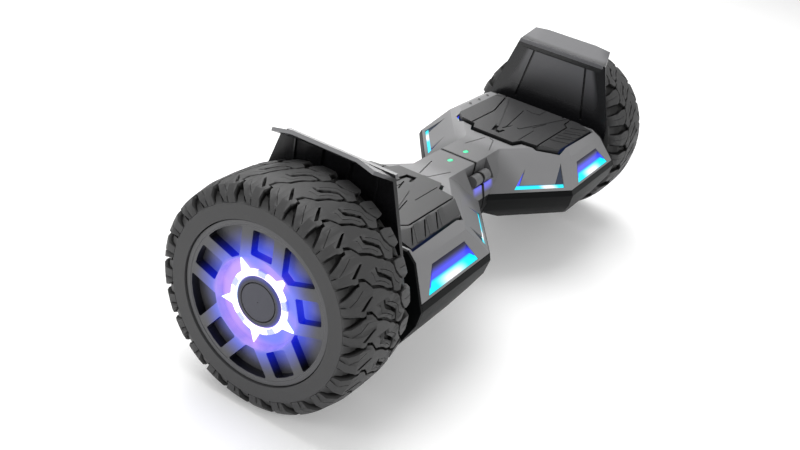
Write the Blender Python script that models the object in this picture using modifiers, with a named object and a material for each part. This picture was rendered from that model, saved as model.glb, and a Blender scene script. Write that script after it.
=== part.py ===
"""Self balancing hoverboard: two halves that twist about a centre tube, each on a hub-motor wheel.

Frame: metres, +Z up. The origin is on the floor under the seam between the halves, +X runs along
the wheel axle to the right half, and -Y is the front. Every paired piece is made for the right
half (+X) and mirrored for the left one.
"""

import math

import bmesh
import bpy
from mathutils import Matrix, Vector

# ---- Overall sizes -----------------------------------------------------------------------------
WHEEL_R = 0.108            # outer radius of the tyre, which is also the height of the axle
TRACK_OUTER_X = 0.3433     # outer sidewall of each tyre, from the seam
TYRE_WIDTH = 0.086
END_X = 0.243              # wheel side of each casing
PIVOT_Z = 0.104            # axis that the halves twist about
TOP_Z = 0.147              # flat top of the casing
FOLD_Z = 0.140             # crease between the top and the light faces
PART_Z = 0.1115            # line where the top shell meets the bottom shell
BOTTOM_Z = 0.044           # flat underside of the casing
FOLD_Y = 0.084             # half width at the crease

# ---- Gaps and walls ----------------------------------------------------------------------------
TOUCH = 0.0003             # gap kept between pieces that touch
SEAM = 0.002               # gap between the two halves
WALL = 0.003               # shell wall
PLATE = 0.003              # side plate thickness
PAD_GAP = 0.003            # slot round each foot pad
RUNNING = 0.001            # clearance between pieces that turn against each other

# ---- Casing ------------------------------------------------------------------------------------
CORNER_X = 0.133           # where the front crease meets the diagonal crease
NECK_CORNER = (0.049, 0.028)   # where the diagonal crease reaches the neck
END_TOP_X = 0.227          # wheel end of the casing at the flat top
NECK_R = 0.0415            # round underside of the neck
NECK_FLAT_Y = 0.022        # half width of the flat on top of the neck
NECK_END_X = 0.074         # how far the neck runs into the casing
RAMP_X = 0.120             # where the flat underside turns up towards the neck
RAMP_RISE = 0.032          # rise of the underside from there to RAMP_END_X
RAMP_END_X = 0.040
# Half section of the casing as (distance outside the crease, height), from the top downwards.
FRONT_SECTION = [(-0.011, TOP_Z), (0, FOLD_Z), (0.020, 0.111), (0.0225, 0.105),
                 (0.020, 0.090), (0.006, 0.062), (-0.014, BOTTOM_Z)]
DIAGONAL_SECTION = [(-0.011, TOP_Z), (0, FOLD_Z), (0.0316, 0.111), (0.033, 0.105),
                    (0.029, 0.090), (0.016, 0.074), (-0.008, 0.060), (-0.030, 0.050)]
# Half section of the neck as (half width, height) above the round underside.
NECK_SHOULDER = [(NECK_FLAT_Y, TOP_Z), (0.0350, 0.130), (0.0405, 0.113)]
BARREL_R = 0.0065          # round hinge barrel in the front shoulder of the neck
BARREL_Y = -0.0300
BARREL_Z = 0.1315
BARREL_LENGTH = 0.017
BARREL_POCKET = ((-0.060, 0.1260), (0.026, -0.0225))   # (front y, floor z), (end x, back y)
POST_R = 0.005             # posts that carry the chassis
POSTS_X = (0.140, 0.222)
POSTS_Y = 0.030

# ---- Lights ------------------------------------------------------------------------------------
LENS_GAP = 0.0003
WINDOW_TOP = (0.1425, 0.2045, 0.1322)      # x from, x to, z of the big window's upper edge
WINDOW_BOTTOM = (0.130, 0.2245, 0.1135)    # the same for its lower edge
WINDOW_FLOOR = (0.0925, 0.117)             # y, z where the back of the recess meets its floor
LIGHT_BACK = 0.0035        # material behind the recess
LIGHT_RIM = 0.0012         # rim of the light round the recess
SLIT_RECESS = 0.0012       # how deep the slit light sits under the diagonal face
SLIT_DEPTH = 0.006
SLIT_START = (0.0445, 0.0577, 0.113)       # x, y, z of the lower inner corner of the slit light
SLIT_OUTLINE = [(-0.001, 0), (0.068, 0), (0.0706, 0.0297), (0.056, 0.005),
                (0.0075, 0.005), (0.0202, 0.025)]
STATUS_X = 0.018
STATUS_RADII = (0.0045, 0.0028)

# ---- Foot pads ---------------------------------------------------------------------------------
PAD_OUTLINE = [(0.084, -0.026), (0.098, -0.031), (0.101, -0.050), (0.122, -0.0705), (0.218, -0.0725),
               (0.218, 0.060), (0.112, 0.060), (0.100, 0.050), (0.096, 0.031), (0.084, 0.026)]
PAD_TOP_Z = 0.1505
PAD_BOTTOM_Z = 0.1405
PAD_TRAVEL = 0.002
SENSOR_THICKNESS = 0.0016
SENSOR_LEGS_X = (0.134, 0.186)

# ---- Fender ------------------------------------------------------------------------------------
FENDER_WALL = 0.0035
FENDER_FOOT_X = END_X + TOUCH + FENDER_WALL
# Rows of the outer face: (height, x, half width, half width of the centre panel).
FENDER_ROWS = [(0.082, FENDER_FOOT_X, 0.070, 0.048), (0.118, FENDER_FOOT_X, 0.086, 0.048),
               (0.145, FENDER_FOOT_X + 0.001, 0.083, 0.046), (0.221, FENDER_FOOT_X + 0.002, 0.060, 0.0345),
               (0.2365, 0.275, 0.053, 0.034)]
FENDER_SIDE_SET = 0.003    # how far the side facets lean towards the wheel
LIP_DROP = 0.003           # how far the corners of the lip hang below its middle

# ---- Wheel -------------------------------------------------------------------------------------
WHEEL_X = TRACK_OUTER_X - TYRE_WIDTH / 2
HUB_R = 0.0753             # outside of the motor drum, under the tyre
HUB_FACE_X = TRACK_OUTER_X - 0.0018
POCKET_DEPTH = 0.010
COVER_BACK = 0.003
DISH_R = 0.041             # round dish in the middle of the hub cover
CAP_R = 0.0235
CAP_FACE_X = HUB_FACE_X - 0.0040
LIGHT_RING = (0.0242, 0.0300)
STAR_R = 0.041
STAR_ANGLE = 54            # first star point, degrees from the front towards the top
WEDGE_POCKET = (0.0705, 17.8, 0.0448, 6.6)      # outer radius, half angle, inner radius, half angle
STRAIGHT_POCKET = (0.0700, 9.0, 0.0455, 14.0)   # the same for the pockets between the wedges
TREAD_KNOBS = 24
KNOB_SHARE = 0.56          # share of the pitch that a knob fills
# Half sections as (distance from the middle of the tread, radius), from the bead to the crown.
KNOB_SECTION = [(TYRE_WIDTH / 2, WHEEL_R - 0.0176), (TYRE_WIDTH / 2 - 0.0005, WHEEL_R - 0.0100),
                (TYRE_WIDTH / 2 - 0.0060, WHEEL_R - 0.0035), (TYRE_WIDTH / 2 - 0.0230, WHEEL_R - 0.0004)]
GROOVE_SECTION = [(TYRE_WIDTH / 2, WHEEL_R - 0.0176), (TYRE_WIDTH / 2 - 0.0055, WHEEL_R - 0.0150),
                  (TYRE_WIDTH / 2 - 0.0120, WHEEL_R - 0.0095), (TYRE_WIDTH / 2 - 0.0240, WHEEL_R - 0.0045)]
AXLE_R = 0.007
BEARING_R = 0.015
BEARING_WIDTH = 0.009
DRUM_WALL = 0.0125
DRUM_SIDE = 0.004
DRUM_X = TRACK_OUTER_X - TYRE_WIDTH + 0.004
AIR_GAP = 0.001
STATOR_TEETH = 18
STATOR_WIDTH = 0.030
STATOR_WEB = 0.006         # plate that carries the ring of teeth on the axle
AXLE_IN_X = 0.192

# ---- Chassis and what it carries ---------------------------------------------------------------
DECK = (0.094, 0.232, 0.060, 0.060, 0.068)     # x from, x to, half width, z from, z to
DECK_NOSE = (0.034, 0.024)                     # cut off its corners nearest the neck, along x and y
SADDLE = (0.198, 0.232, 0.022)                 # x from, x to, half width
RIB = 0.004
RIB_HEIGHT = 0.010
RIB_INSET = 0.004                              # from the edge of the deck to its long ribs
CLAMP_HEIGHT = 0.016
TUBE_R = 0.011
TUBE_BORE_R = 0.0085
TUBE_HALF_LENGTH = 0.054
BUSH_WALL = 0.004
SLEEVE_WALL = 0.006
SLEEVE = (0.010, 0.046)                        # x from, x to
BEAM = (0.014, 0.070, 0.087)                   # half width, z from, z to
BEAM_FOOT = 0.014                              # how far the beam runs over the deck
BATTERY = (0.110, 0.190, 0.048, 0.038)         # x from, x to, half width, height
BOARD = (0.112, 0.192, 0.044)                  # x from, x to, half width
BOARD_THICKNESS = 0.0016
BUTTON_R = 0.006
BUTTON_TRAVEL = 0.0015
BUTTON_AT = (0.160, 0.028)
SOCKET_AT = (0.190, 0.028)
SOCKET_R = 0.0085
SOCKET_BORE_R = 0.0065

EXCESS = 0.05              # how far a cutter runs past what it cuts

AXIS_PLACES = {
    "twist": (0, 0, PIVOT_Z),
    "wheel_l": (-WHEEL_X, 0, WHEEL_R),
    "wheel_r": (WHEEL_X, 0, WHEEL_R),
    "pad_l": (-0.150, 0, PAD_TOP_Z),
    "pad_r": (0.150, 0, PAD_TOP_Z),
    "button": (*BUTTON_AT, BOTTOM_Z),
    "flap": (SOCKET_AT[0], SOCKET_AT[1] + SOCKET_R + 0.005, BOTTOM_Z - 0.0013),
}
AXES_ON_THE_RIGHT = ("wheel_r", "pad_r", "button", "flap")
WHEEL_AXES = ("wheel_l", "wheel_r")

COLOURS = {
    "shell_grey": ((0.26, 0.26, 0.27), 0.38, 0.15),
    "black_plastic": ((0.02, 0.02, 0.022), 0.42, 0.0),
    "pad_rubber": ((0.06, 0.06, 0.062), 0.70, 0.0),
    "tyre_rubber": ((0.035, 0.035, 0.037), 0.78, 0.0),
    "hub_grey": ((0.07, 0.07, 0.075), 0.50, 0.1),
    "cast_aluminium": ((0.55, 0.56, 0.58), 0.45, 1.0),
    "steel": ((0.50, 0.51, 0.53), 0.30, 1.0),
    "copper": ((0.70, 0.35, 0.18), 0.40, 1.0),
    "bronze": ((0.50, 0.36, 0.16), 0.40, 1.0),
    "light_cyan": ((0.05, 0.85, 0.95), 0.20, 0.0),
    "light_hub": ((0.45, 0.50, 1.00), 0.20, 0.0),
    "light_green": ((0.05, 0.85, 0.35), 0.25, 0.0),
    "circuit_green": ((0.02, 0.16, 0.08), 0.50, 0.0),
    "battery_wrap": ((0.03, 0.10, 0.38), 0.35, 0.0),
}


def clear_scene():
    for obj in list(bpy.data.objects):
        bpy.data.objects.remove(obj, do_unlink=True)


def new_collection(name):
    collection = bpy.data.collections.new(name)
    bpy.context.scene.collection.children.link(collection)
    return collection


def make_materials():
    made = {}
    for name, (colour, roughness, metallic) in COLOURS.items():
        material = bpy.data.materials.new(name)
        material.use_nodes = True
        shader = material.node_tree.nodes["Principled BSDF"]
        shader.inputs["Base Color"].default_value = (*colour, 1.0)
        shader.inputs["Roughness"].default_value = roughness
        shader.inputs["Metallic"].default_value = metallic
        made[name] = material
    return made


def make_axes():
    """An empty on each joint's axis; what turns with the right half hangs from its twist axis."""
    made = {}
    for name, place in AXIS_PLACES.items():
        empty = bpy.data.objects.new(name + "_axis", None)
        empty.empty_display_size = 0.03
        PARTS.objects.link(empty)
        made[name] = empty
        if name in AXES_ON_THE_RIGHT:
            empty.parent = made["twist"]
            place = Vector(place) - Vector(AXIS_PLACES["twist"])
        empty.location = place
    return made


clear_scene()
PARTS = new_collection("hoverboard")
CUTTERS = new_collection("cutters")
MATERIALS = make_materials()
AXES = make_axes()


# ---- Modelling helpers -------------------------------------------------------------------------
def object_from(bm, name):
    """A mesh object in the cutters' collection, with its faces pointing out."""
    bmesh.ops.recalc_face_normals(bm, faces=bm.faces)
    mesh = bpy.data.meshes.new(name)
    bm.to_mesh(mesh)
    bm.free()
    obj = bpy.data.objects.new(name, mesh)
    obj.hide_render = True
    obj.display_type = "WIRE"
    CUTTERS.objects.link(obj)
    return obj


def block(low, high):
    bm = bmesh.new()
    low, high = Vector(low), Vector(high)
    size = Matrix.Diagonal((*(high - low), 1.0))
    bmesh.ops.create_cube(bm, size=1.0, matrix=Matrix.Translation((low + high) / 2) @ size)
    return object_from(bm, "block")


def rod(radius, start, end, segments=24):
    """A cylinder from one point to the other."""
    bm = bmesh.new()
    start, end = Vector(start), Vector(end)
    turn = (end - start).to_track_quat("Z", "Y").to_matrix().to_4x4()
    bmesh.ops.create_cone(bm, cap_ends=True, segments=segments, radius1=radius, radius2=radius,
                          depth=(end - start).length,
                          matrix=Matrix.Translation((start + end) / 2) @ turn)
    return object_from(bm, "rod")


def hewn(planes, inset=0.0):
    """A block cut down by planes, each a (point, outward normal), moved inwards by the inset."""
    bm = bmesh.new()
    bmesh.ops.create_cube(bm, size=1.0)
    for point, normal in planes:
        normal = Vector(normal).normalized()
        cut = bmesh.ops.bisect_plane(bm, geom=[*bm.verts, *bm.edges, *bm.faces], dist=1e-7,
                                     plane_co=Vector(point) - normal * inset, plane_no=normal,
                                     clear_outer=True)
        edges = [item for item in cut["geom_cut"] if isinstance(item, bmesh.types.BMEdge)]
        if edges:
            bmesh.ops.edgeloop_fill(bm, edges=edges)
    bmesh.ops.remove_doubles(bm, verts=bm.verts, dist=1e-6)
    return object_from(bm, "hewn")


def baked(obj):
    """Replaces an object's mesh with the one its modifiers and its placing give."""
    bpy.context.view_layer.update()
    graph = bpy.context.evaluated_depsgraph_get()
    mesh = bpy.data.meshes.new_from_object(obj.evaluated_get(graph), depsgraph=graph)
    mesh.transform(obj.matrix_world)
    bm = bmesh.new()
    bm.from_mesh(mesh)
    bmesh.ops.remove_doubles(bm, verts=bm.verts, dist=1e-6)
    bmesh.ops.dissolve_degenerate(bm, edges=bm.edges, dist=1e-6)
    name = obj.name
    bpy.data.objects.remove(obj, do_unlink=True)
    bpy.data.meshes.remove(mesh)
    return object_from(bm, name)


def plate(outline, depth, place):
    """A flat outline given a thickness, centred on the plane that the matrix places it in."""
    curve = bpy.data.curves.new("plate", "CURVE")
    curve.dimensions = "2D"
    curve.fill_mode = "BOTH"
    curve.extrude = depth / 2
    spline = curve.splines.new("POLY")
    spline.points.add(len(outline) - 1)
    for point, (x, y) in zip(spline.points, outline):
        point.co = (x, y, 0, 1)
    spline.use_cyclic_u = True
    obj = bpy.data.objects.new("plate", curve)
    obj.matrix_world = place
    CUTTERS.objects.link(obj)
    return baked(obj)


def flat(outline, low_z, high_z):
    return plate(outline, high_z - low_z, Matrix.Translation((0, 0, (low_z + high_z) / 2)))


def turned(profile, centre_z, steps=48):
    """A ring turned about the X axis at a height, from a closed (x, radius) profile.

    The profile runs along its outer side from the highest x to the lowest, and back inside.
    """
    mesh = bpy.data.meshes.new("turned")
    points = [(radius, 0, x) for x, radius in profile]
    edges = [(i, (i + 1) % len(points)) for i in range(len(points))]
    mesh.from_pydata(points, edges, [])
    obj = bpy.data.objects.new("turned", mesh)
    screw = obj.modifiers.new("turn", "SCREW")
    screw.steps = screw.render_steps = steps
    screw.use_merge_vertices = True
    screw.merge_threshold = 1e-5
    obj.matrix_world = Matrix.Translation((0, 0, centre_z)) @ Matrix.Rotation(math.pi / 2, 4, "Y")
    CUTTERS.objects.link(obj)
    return baked(obj)


def ring(outer_r, inner_r, low_x, high_x, centre_z, steps=24):
    return turned([(high_x, outer_r), (low_x, outer_r), (low_x, inner_r), (high_x, inner_r)],
                  centre_z, steps)


def combined(obj, tools, operation):
    """Cuts the tools from an object, joins them to it or keeps what they share."""
    for tool in tools:
        modifier = obj.modifiers.new("combine", "BOOLEAN")
        modifier.operation = operation
        modifier.object = tool
        modifier.solver = "EXACT"
        obj = baked(obj)
        bpy.data.objects.remove(tool, do_unlink=True)
    return obj


def cut(obj, *tools):
    return combined(obj, tools, "DIFFERENCE")


def joined(obj, *tools):
    return combined(obj, tools, "UNION")


def shared(obj, *tools):
    return combined(obj, tools, "INTERSECT")


def copied(obj):
    twin = bpy.data.objects.new(obj.name, obj.data.copy())
    CUTTERS.objects.link(twin)
    return twin


def finished(obj, name, colour, axis=None, smooth=True):
    """Makes an object a named piece, with its origin on its axis where it has one."""
    obj.name = name
    obj.data.name = name
    obj.data.materials.clear()
    obj.data.materials.append(MATERIALS[colour])
    if smooth:
        obj.data.shade_smooth()
        obj.data.set_sharp_from_angle(angle=math.radians(30))
    CUTTERS.objects.unlink(obj)
    PARTS.objects.link(obj)
    obj.hide_render = False
    obj.display_type = "TEXTURED"
    if axis is not None:
        place_under(obj, axis)
    return obj


def place_under(obj, axis):
    """Parents a piece to the empty on its axis, and moves its origin there."""
    obj.data.transform(Matrix.Translation(-Vector(AXIS_PLACES[axis])))
    obj.parent = AXES[axis]


def mirrored(obj):
    """The same piece for the left half."""
    bm = bmesh.new()
    bm.from_mesh(obj.data)
    bmesh.ops.scale(bm, vec=(-1, 1, 1), verts=bm.verts)
    return object_from(bm, obj.name)


def both(obj, name, colour, axes=(None, "twist"), smooth=True):
    """Names a right-hand piece and makes its left-hand twin, each under its own axis."""
    left = mirrored(obj)
    finished(left, name + "_l", colour, axes[0], smooth)
    finished(obj, name + "_r", colour, axes[1], smooth)


def grown(outline, gap):
    """An outline, drawn anticlockwise, moved outwards by a gap with mitred corners."""
    moved = []
    for index, point in enumerate(outline):
        before = Vector(point) - Vector(outline[index - 1])
        after = Vector(outline[(index + 1) % len(outline)]) - Vector(point)
        side_a = Vector((before.y, -before.x)).normalized()
        side_b = Vector((after.y, -after.x)).normalized()
        middle = (side_a + side_b).normalized()
        moved.append(tuple(Vector(point) + middle * (gap / middle.dot(side_a))))
    return moved


# ---- Casing ------------------------------------------------------------------------------------
def diagonal_direction():
    """Unit vector along the front diagonal crease, away from the neck, and the one out of it."""
    along = Vector((CORNER_X - NECK_CORNER[0], -(FOLD_Y - NECK_CORNER[1]))).normalized()
    return along, Vector((along.y, -along.x))


def section_planes(outward, start, section):
    """Planes through each stretch of a half section that is swept along a crease."""
    planes = []
    for (out_a, z_a), (out_b, z_b) in zip(section, section[1:]):
        point = Vector((*(Vector(start) + outward * out_a), z_a))
        lean = Vector((out_b - out_a, z_b - z_a)).normalized()
        planes.append((point, Vector((*(outward * -lean.y), lean.x))))
    return planes


def end_planes():
    """The upright wheel end, and the stretch above the parting line that leans back."""
    lean = Vector((END_X - END_TOP_X, -(TOP_Z - PART_Z)))
    return [((END_X, 0, 0), (1, 0, 0)), ((END_X, 0, PART_Z), (-lean.y, 0, lean.x))]


def casing_planes():
    _, outward = diagonal_direction()
    planes = section_planes(Vector((0, -1)), (0, -FOLD_Y), FRONT_SECTION)
    planes += section_planes(outward, (CORNER_X, -FOLD_Y), DIAGONAL_SECTION)
    planes += [((p.x, -p.y, p.z), (n.x, -n.y, n.z)) for p, n in planes]
    planes.append(((0, 0, TOP_Z), (0, 0, 1)))
    planes.append(((0, 0, BOTTOM_Z), (0, 0, -1)))
    planes.append(((RAMP_X, 0, BOTTOM_Z), (-RAMP_RISE, 0, RAMP_END_X - RAMP_X)))
    planes.append(((SEAM / 2, 0, 0), (-1, 0, 0)))
    return planes


def neck_outline(inset):
    """Section of the neck in (y, z): a flat top, two shoulders and a round underside."""
    right = [(y - inset, z - inset if z == TOP_Z else z) for y, z in NECK_SHOULDER]
    radius = NECK_R - inset
    under = [(radius * math.cos(a), PIVOT_Z + radius * math.sin(a))
             for a in (math.radians(d) for d in (-5, -30, -50, -70, -90))]
    left = [(-y, z) for y, z in reversed(right + under[:-1])]
    return right + under + left


def neck(inset):
    low_x = SEAM / 2 + inset
    place = Matrix(((0, 0, 1, (low_x + NECK_END_X) / 2), (1, 0, 0, 0), (0, 1, 0, 0), (0, 0, 0, 1)))
    return plate(neck_outline(inset), NECK_END_X - low_x, place)


def barrel_pocket(margin):
    (front_y, floor_z), (end_x, back_y) = BARREL_POCKET
    return block((-margin, front_y, floor_z - margin), (end_x + margin, back_y + margin, TOP_Z + EXCESS))


def casing(inset, end_inset):
    """The casing of the right half as one solid, all its faces moved in by the inset."""
    planes = casing_planes()
    body = hewn([(Vector(p) - Vector(n).normalized() * inset, n) for p, n in planes]
                + [(Vector(p) - Vector(n).normalized() * end_inset, n) for p, n in end_planes()])
    body = joined(body, neck(inset))
    return cut(body, barrel_pocket(inset))


def above(z):
    return block((-EXCESS, -1, z), (1, 1, 1))


def below(z):
    return block((-EXCESS, -1, -1), (1, 1, z))


def pivot_hole():
    radius = TUBE_R + RUNNING
    return rod(radius, (-EXCESS, 0, PIVOT_Z), (SLEEVE[0], 0, PIVOT_Z))


def face_y(z):
    """Y of the front light face at a height."""
    (out_a, z_a), (out_b, z_b) = FRONT_SECTION[1:3]
    return -FOLD_Y - (out_b - out_a) * (z_a - z) / (z_a - z_b)


def window_edges():
    """Top and bottom edges of the front face's window, and its two slanted ends as planes."""
    x_a, x_b, top_z = WINDOW_TOP
    x_c, x_d, low_z = WINDOW_BOTTOM
    top = Vector((0, face_y(top_z), top_z))
    low = Vector((0, face_y(low_z), low_z))
    ends = [((x_a, 0, top_z), (low_z - top_z, 0, x_a - x_c)),
            ((x_b, 0, top_z), (top_z - low_z, 0, x_d - x_b))]
    return top, low, ends


def window_block(inset, proud):
    """The block that fills the window, from a little proud of the face to behind the recess."""
    top, low, ends = window_edges()
    face = Vector((0, top.z - low.z, low.y - top.y)).normalized() * -1
    face = face if face.y < 0 else -face
    sides = [(low, (0, 0, -1)), (top, (0, 0, 1)), ((0, top.y + LIGHT_BACK, 0), (0, 1, 0)), *ends]
    sides = [(Vector(p) - Vector(n).normalized() * inset, n) for p, n in sides]
    return hewn([(top + face * proud, face), *sides])


def window_recess():
    """The wedge sunk into the light: its back starts at the upper edge, its floor is deepest."""
    top, low, ends = window_edges()
    corner = Vector((0, -WINDOW_FLOOR[0], WINDOW_FLOOR[1]))
    back = top - corner
    floor = corner - low
    return hewn([(top, (0, back.z, -back.y)), (low, (0, floor.z, -floor.y)), (top, (0, 0, 1)),
                 ((0, top.y - EXCESS, 0), (0, -1, 0)), *ends], LIGHT_RIM)


def slit_place(depth_middle):
    """Plane of the diagonal face, x along it and y up it, at a depth below its surface."""
    along, outward = diagonal_direction()
    drop = Vector((DIAGONAL_SECTION[2][0], DIAGONAL_SECTION[2][1] - FOLD_Z)).normalized()
    x_axis = Vector((*along, 0))
    y_axis = Vector((*(outward * -drop.x), -drop.y))
    z_axis = x_axis.cross(y_axis)
    crease = Vector((CORNER_X, -FOLD_Y, FOLD_Z))
    start = Vector((SLIT_START[0], -SLIT_START[1], SLIT_START[2]))
    start -= z_axis * (start - crease).dot(z_axis)
    turn = Matrix((x_axis, y_axis, z_axis)).transposed().to_4x4()
    return Matrix.Translation(start - z_axis * depth_middle) @ turn


def mirrored_y(obj):
    bm = bmesh.new()
    bm.from_mesh(obj.data)
    bmesh.ops.scale(bm, vec=(1, -1, 1), verts=bm.verts)
    return object_from(bm, obj.name)


def status_outline(gap):
    rx, ry = STATUS_RADII
    turns = [math.tau * i / 20 for i in range(20)]
    return [(STATUS_X + (rx + gap) * math.cos(a), (ry + gap) * math.sin(a)) for a in turns]


def make_shells():
    """The grey top shell and the black bottom shell of each half, hollow and open inside."""
    gap = PLATE + TOUCH
    hollow = casing(WALL, gap - EXCESS)
    outer = casing(0, gap)
    (_, floor_z), (_, back_y) = BARREL_POCKET
    barrel = rod(BARREL_R, (SEAM / 2, BARREL_Y, BARREL_Z), (BARREL_LENGTH, BARREL_Y, BARREL_Z), 20)
    walls = cut(joined(outer, barrel), hollow, pivot_hole())

    top = shared(copied(walls), above(PART_Z + TOUCH / 2))
    opening = grown(PAD_OUTLINE, PAD_GAP)
    top = cut(top, flat(opening, PAD_BOTTOM_Z - EXCESS, TOP_Z + EXCESS))
    openings = [window_block(-LENS_GAP, EXCESS), plate(SLIT_OUTLINE, EXCESS / 2, slit_place(0))]
    openings += [mirrored_y(opening) for opening in openings]
    top = cut(top, *openings, flat(status_outline(LENS_GAP), PART_Z, TOP_Z + EXCESS))
    both(top, "top_shell", "shell_grey", smooth=False)

    bottom = shared(walls, below(PART_Z - TOUCH / 2))
    posts = [rod(POST_R, (x, y, BOTTOM_Z + WALL / 2), (x, y, DECK[3] - TOUCH), 16)
             for x in POSTS_X for y in (-POSTS_Y, POSTS_Y)]
    bottom = joined(bottom, *posts)
    left = mirrored(bottom)
    finished(left, "bottom_shell_l", "black_plastic", smooth=False)
    holes = [rod(BUTTON_R + TOUCH, (*BUTTON_AT, 0), (*BUTTON_AT, DECK[3] - RUNNING), 24),
             rod(SOCKET_R + TOUCH, (*SOCKET_AT, 0), (*SOCKET_AT, DECK[3] - RUNNING), 24)]
    finished(cut(bottom, *holes), "bottom_shell_r", "black_plastic", "twist", smooth=False)


def make_side_plates():
    """Black plates that close the wheel side of each casing, round the axle."""
    side = cut(hewn(casing_planes() + end_planes()), hewn(end_planes(), PLATE))
    side = cut(side, rod(AXLE_R + RUNNING, (0, 0, WHEEL_R), (END_X + EXCESS, 0, WHEEL_R), 24))
    both(side, "side_plate", "black_plastic", smooth=False)


def fender_rows():
    """Points of the fender's foot side, row by row from the bottom to the lip."""
    rows = []
    for height, x, half, panel in FENDER_ROWS:
        is_lip = height == FENDER_ROWS[-1][0]
        foot = x == FENDER_FOOT_X
        lean = 0 if foot else FENDER_SIDE_SET
        drop = LIP_DROP if is_lip else 0
        row = [(x - FENDER_WALL + lean, -half, height - drop), (x - FENDER_WALL, -panel, height),
               (x - FENDER_WALL, panel, height), (x - FENDER_WALL + lean, half, height - drop)]
        rows.append(row)
    return rows


def make_fenders():
    bm = bmesh.new()
    grid = [[bm.verts.new(point) for point in row] for row in fender_rows()]
    for low, high in zip(grid, grid[1:]):
        for i in range(len(low) - 1):
            bm.faces.new((low[i], low[i + 1], high[i + 1], high[i]))
    sheet = object_from(bm, "fender")
    away_from_wheel = sum((face.normal.x for face in sheet.data.polygons), 0.0) < 0
    wall = sheet.modifiers.new("wall", "SOLIDIFY")
    wall.thickness = FENDER_WALL
    wall.offset = -1 if away_from_wheel else 1
    wall.use_even_offset = True
    fender = baked(sheet)
    fender = cut(fender, rod(AXLE_R * 2, (0, 0, WHEEL_R), (1, 0, WHEEL_R), 24))
    both(fender, "fender", "black_plastic", smooth=False)


def make_pads():
    """Rubber foot pads that sink a little onto the sensor boards under them."""
    pad = flat(PAD_OUTLINE, PAD_BOTTOM_Z, PAD_TOP_Z)
    both(pad, "footpad", "pad_rubber", ("pad_l", "pad_r"), smooth=False)
    high = PAD_BOTTOM_Z - PAD_TRAVEL - TOUCH
    low = high - SENSOR_THICKNESS
    rib_top = DECK[4] + RIB_HEIGHT + TOUCH
    rib_y = DECK[2] - RIB / 2 - RIB_INSET
    board = block((0.100, -0.030, low), (0.206, 0.030, high))
    legs = []
    for x in SENSOR_LEGS_X:
        legs.append(block((x - RIB, -rib_y - RIB, low - RIB), (x + RIB, rib_y + RIB, high - TOUCH)))
        legs += [block((x - RIB, side * rib_y - RIB, rib_top), (x + RIB, side * rib_y + RIB, low))
                 for side in (-1, 1)]
    both(joined(board, *legs), "sensor_board", "circuit_green", smooth=False)


def make_lights():
    front = cut(window_block(0, 0), window_recess())
    slit = plate(grown(SLIT_OUTLINE, -LENS_GAP), SLIT_DEPTH, slit_place(SLIT_RECESS + SLIT_DEPTH / 2))
    both(mirrored_y(front), "rear_light", "light_cyan", smooth=False)
    both(front, "front_light", "light_cyan", smooth=False)
    both(mirrored_y(slit), "rear_slit_light", "light_cyan", smooth=False)
    both(slit, "front_slit_light", "light_cyan", smooth=False)
    both(flat(status_outline(0), TOP_Z - 2 * WALL, TOP_Z), "status_light", "light_green")


# ---- Chassis and what it carries ---------------------------------------------------------------
def sleeve_bore():
    return TUBE_R + BUSH_WALL + 2 * TOUCH


def make_chassis():
    """Cast frame of each half: a deck, a beam to the sleeve of the centre tube, and an axle saddle."""
    x_a, x_b, half, z_a, z_b = DECK
    shoulder_x = x_a + DECK_NOSE[0]
    nose_y = half - DECK_NOSE[1]
    outline = [(x_a, -nose_y), (shoulder_x, -half), (x_b, -half),
               (x_b, half), (shoulder_x, half), (x_a, nose_y)]
    beam_half, beam_low, beam_high = BEAM
    beam_end = x_a + BEAM_FOOT
    sleeve_r = sleeve_bore() + SLEEVE_WALL
    saddle_a, saddle_b, saddle_half = SADDLE
    rib_y = half - RIB_INSET - RIB
    pieces = [
        block((SLEEVE[0] + TOUCH, -beam_half, beam_low), (beam_end, beam_half, beam_high)),
        block((x_a + 0.001, -beam_half, z_a + 0.001), (beam_end, beam_half, beam_high)),
        rod(sleeve_r, (SLEEVE[0], 0, PIVOT_Z), (SLEEVE[1], 0, PIVOT_Z)),
        block((saddle_a, -saddle_half, z_a + 0.002), (saddle_b, saddle_half, WHEEL_R - TOUCH / 2)),
        block((saddle_a, -rib_y, z_a + 0.002), (saddle_a + RIB, rib_y, z_b + RIB_HEIGHT)),
        block((shoulder_x, -rib_y - RIB, z_a + 0.002), (x_b - 0.002, -rib_y, z_b + RIB_HEIGHT)),
        block((shoulder_x, rib_y, z_a + 0.002), (x_b - 0.002, rib_y + RIB, z_b + RIB_HEIGHT)),
    ]
    frame = joined(flat(outline, z_a, z_b), *pieces)
    bore = rod(sleeve_bore(), (0, 0, PIVOT_Z), (SLEEVE[1] + EXCESS, 0, PIVOT_Z))
    groove = rod(AXLE_R + TOUCH, (saddle_a - 0.01, 0, WHEEL_R), (1, 0, WHEEL_R), 24)
    clamp = block((saddle_a, -saddle_half, WHEEL_R + TOUCH / 2),
                  (saddle_b, saddle_half, WHEEL_R + CLAMP_HEIGHT))
    both(cut(clamp, copied(groove)), "axle_clamp", "cast_aluminium", smooth=False)
    both(cut(frame, bore, groove), "chassis", "cast_aluminium", smooth=False)


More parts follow.
